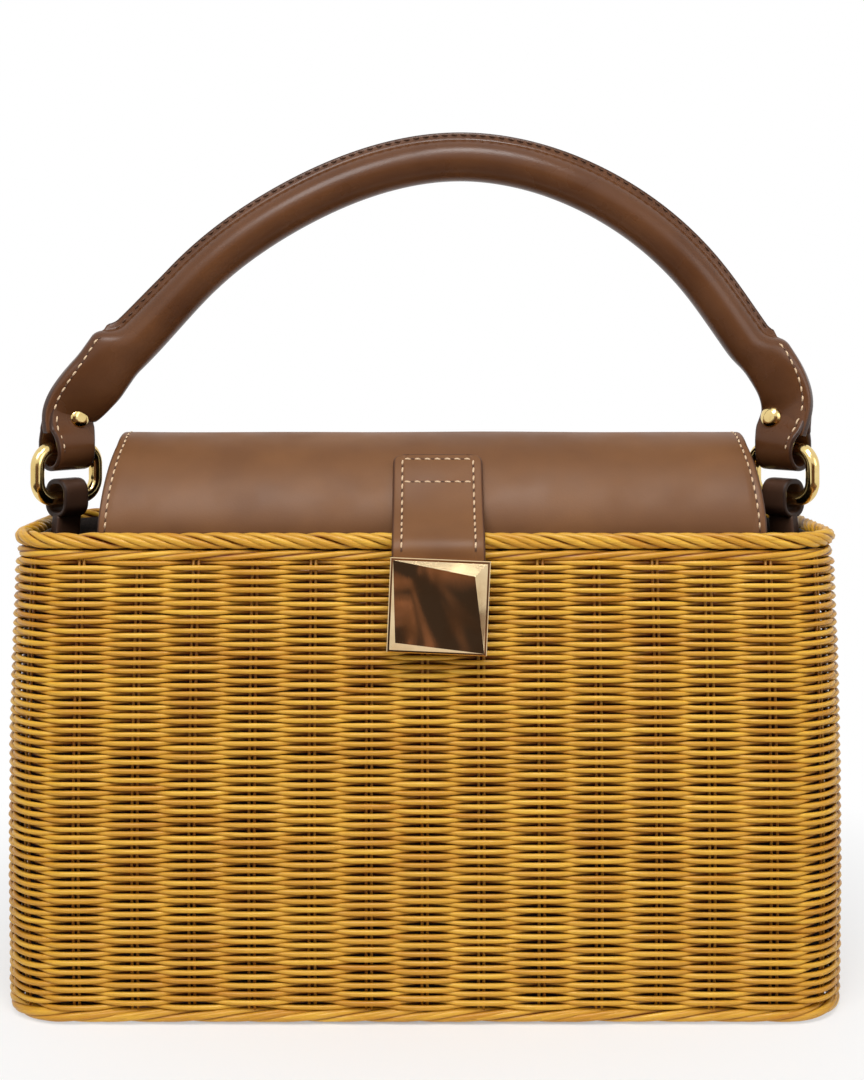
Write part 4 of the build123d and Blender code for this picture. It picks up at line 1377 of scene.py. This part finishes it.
floor_reach = 6.0
floor_drop = 0.5 * mm
floor_corners = [(x * floor_reach, y * floor_reach, 0) for x, y in ((-1, -1), (1, -1), (1, 1), (-1, 1))]
floor_mesh = bpy.data.meshes.new("floor")
floor_mesh.from_pydata(floor_corners, [], [(0, 1, 2, 3)])
floor = bpy.data.objects.new("floor", floor_mesh)
bpy.context.scene.collection.objects.link(floor)
floor.location.z = -floor_drop
floor_white, tree, shader = finish("floor_white", Roughness=0.8)
shader.inputs["Base Color"].default_value = (0.9, 0.9, 0.9, 1)
away = add(tree, "ShaderNodeVectorMath", operation="LENGTH")
tree.links.new(add(tree, "ShaderNodeTexCoord").outputs["Object"], away.inputs[0])
far = mapped(tree, away.outputs["Value"], 0.05, 0.30, 0.35, 1.0)
glow = add(tree, "ShaderNodeEmission")
both = add(tree, "ShaderNodeMixShader")
tree.links.new(sums(tree, "MULTIPLY", plainly_seen(tree), far), both.inputs[0])
tree.links.new(shader.outputs[0], both.inputs[1])
tree.links.new(glow.outputs[0], both.inputs[2])
tree.links.new(both.outputs[0], tree.nodes["Material Output"].inputs["Surface"])
wear_it(floor, floor_white)
print("floor:", 2 * floor_reach, "m wide")

# %% [markdown]
# The sky is white where it is seen and much dimmer as a light, so the lamps can draw the forms. All
# the lamps are round and large, which keeps the edges of the shadows soft.

# %% Sky and lamps
world = bpy.data.worlds.new("studio")
bpy.context.scene.world = world
world.use_nodes = True
tree = world.node_tree
sky = tree.nodes["Background"]
sky.inputs["Color"].default_value = (1, 1, 1, 1)
tree.links.new(mapped(tree, plainly_seen(tree), 0, 1, 0.26, 1.0), sky.inputs["Strength"])


def lamp(name, place, aim, size, power):
    """A round lamp at a place, turned towards its aim."""
    light = bpy.data.lights.new(name, "AREA")
    light.shape = "DISK"
    light.size = size
    light.energy = power
    piece = bpy.data.objects.new(name, light)
    bpy.context.scene.collection.objects.link(piece)
    piece.location = place
    way = np.array(aim) - np.array(place)
    flat = math.hypot(way[0], way[1])
    piece.rotation_euler = (math.atan2(flat, -way[2]), 0, math.atan2(way[1], way[0]) - math.pi / 2)
    return piece


lamp("key", (-0.45, -1.0, 1.25), (0, 0, 0.14), 0.7, 10)
lamp("fill", (1.2, -1.1, 0.7), (0, 0, 0.12), 0.9, 4.5)
lamp("top", (0.1, -0.55, 1.15), (0, 0, 0.15), 0.4, 6)
bpy.context.scene.view_settings.view_transform = "Standard"

# %% [markdown]
# Polished metal shows its surroundings, and a white room makes it white. Photographers hang a dark
# card round the camera, so that the clasp turns brown with bright edges. The card here is no lamp but
# glows with the warm streaks of a wooden floor, and shows in mirror reflections only: it paints that
# reflection onto the metal and the leather, and takes no light from the bag.

# %% Glowing card that paints reflections on the metal
card_mesh = bpy.data.meshes.new("painted_reflection_card")
card_edges = ((-0.16, 0.001), (-1.5, 0.001), (-1.5, 0.50))
card_half = 0.7
card_points = [(x, y, z) for y, z in card_edges for x in (-card_half, card_half)]
card_mesh.from_pydata(card_points, [], [(0, 1, 3, 2), (2, 3, 5, 4)])
card = bpy.data.objects.new("painted_reflection_card", card_mesh)
bpy.context.scene.collection.objects.link(card)
card.visible_camera = False
card.visible_diffuse = False
card.visible_shadow = False
card.visible_transmission = False
painted_reflection_glow, tree, shader = finish("painted_reflection_glow", Roughness=1.0, Specular_IOR_Level=0.0)
boards = add(tree, "ShaderNodeTexNoise")
boards.inputs["Scale"].default_value = 1.2
boards.inputs["Detail"].default_value = 2.0
boards.inputs["Distortion"].default_value = 0.8
slant = add(tree, "ShaderNodeMapping", vector_type="TEXTURE")
slant.inputs["Rotation"].default_value = (0, 0, math.radians(-19))
slant.inputs["Scale"].default_value = (0.22, 1.3, 1.0)
tree.links.new(add(tree, "ShaderNodeTexCoord").outputs["Object"], slant.inputs["Vector"])
tree.links.new(slant.outputs["Vector"], boards.inputs["Vector"])
tone = mixed(tree, mapped(tree, boards.outputs[0], 0.50, 0.73), tinted(66, 55, 50), tinted(176, 124, 98))
# painted reflection: the card glows in these browns and is seen only in mirror reflections
tree.links.new(tone, shader.inputs["Emission Color"])
shader.inputs["Base Color"].default_value = (0, 0, 0, 1)
shader.inputs["Emission Strength"].default_value = 1.0
wear_it(card, painted_reflection_glow)
print("card:", card.name)
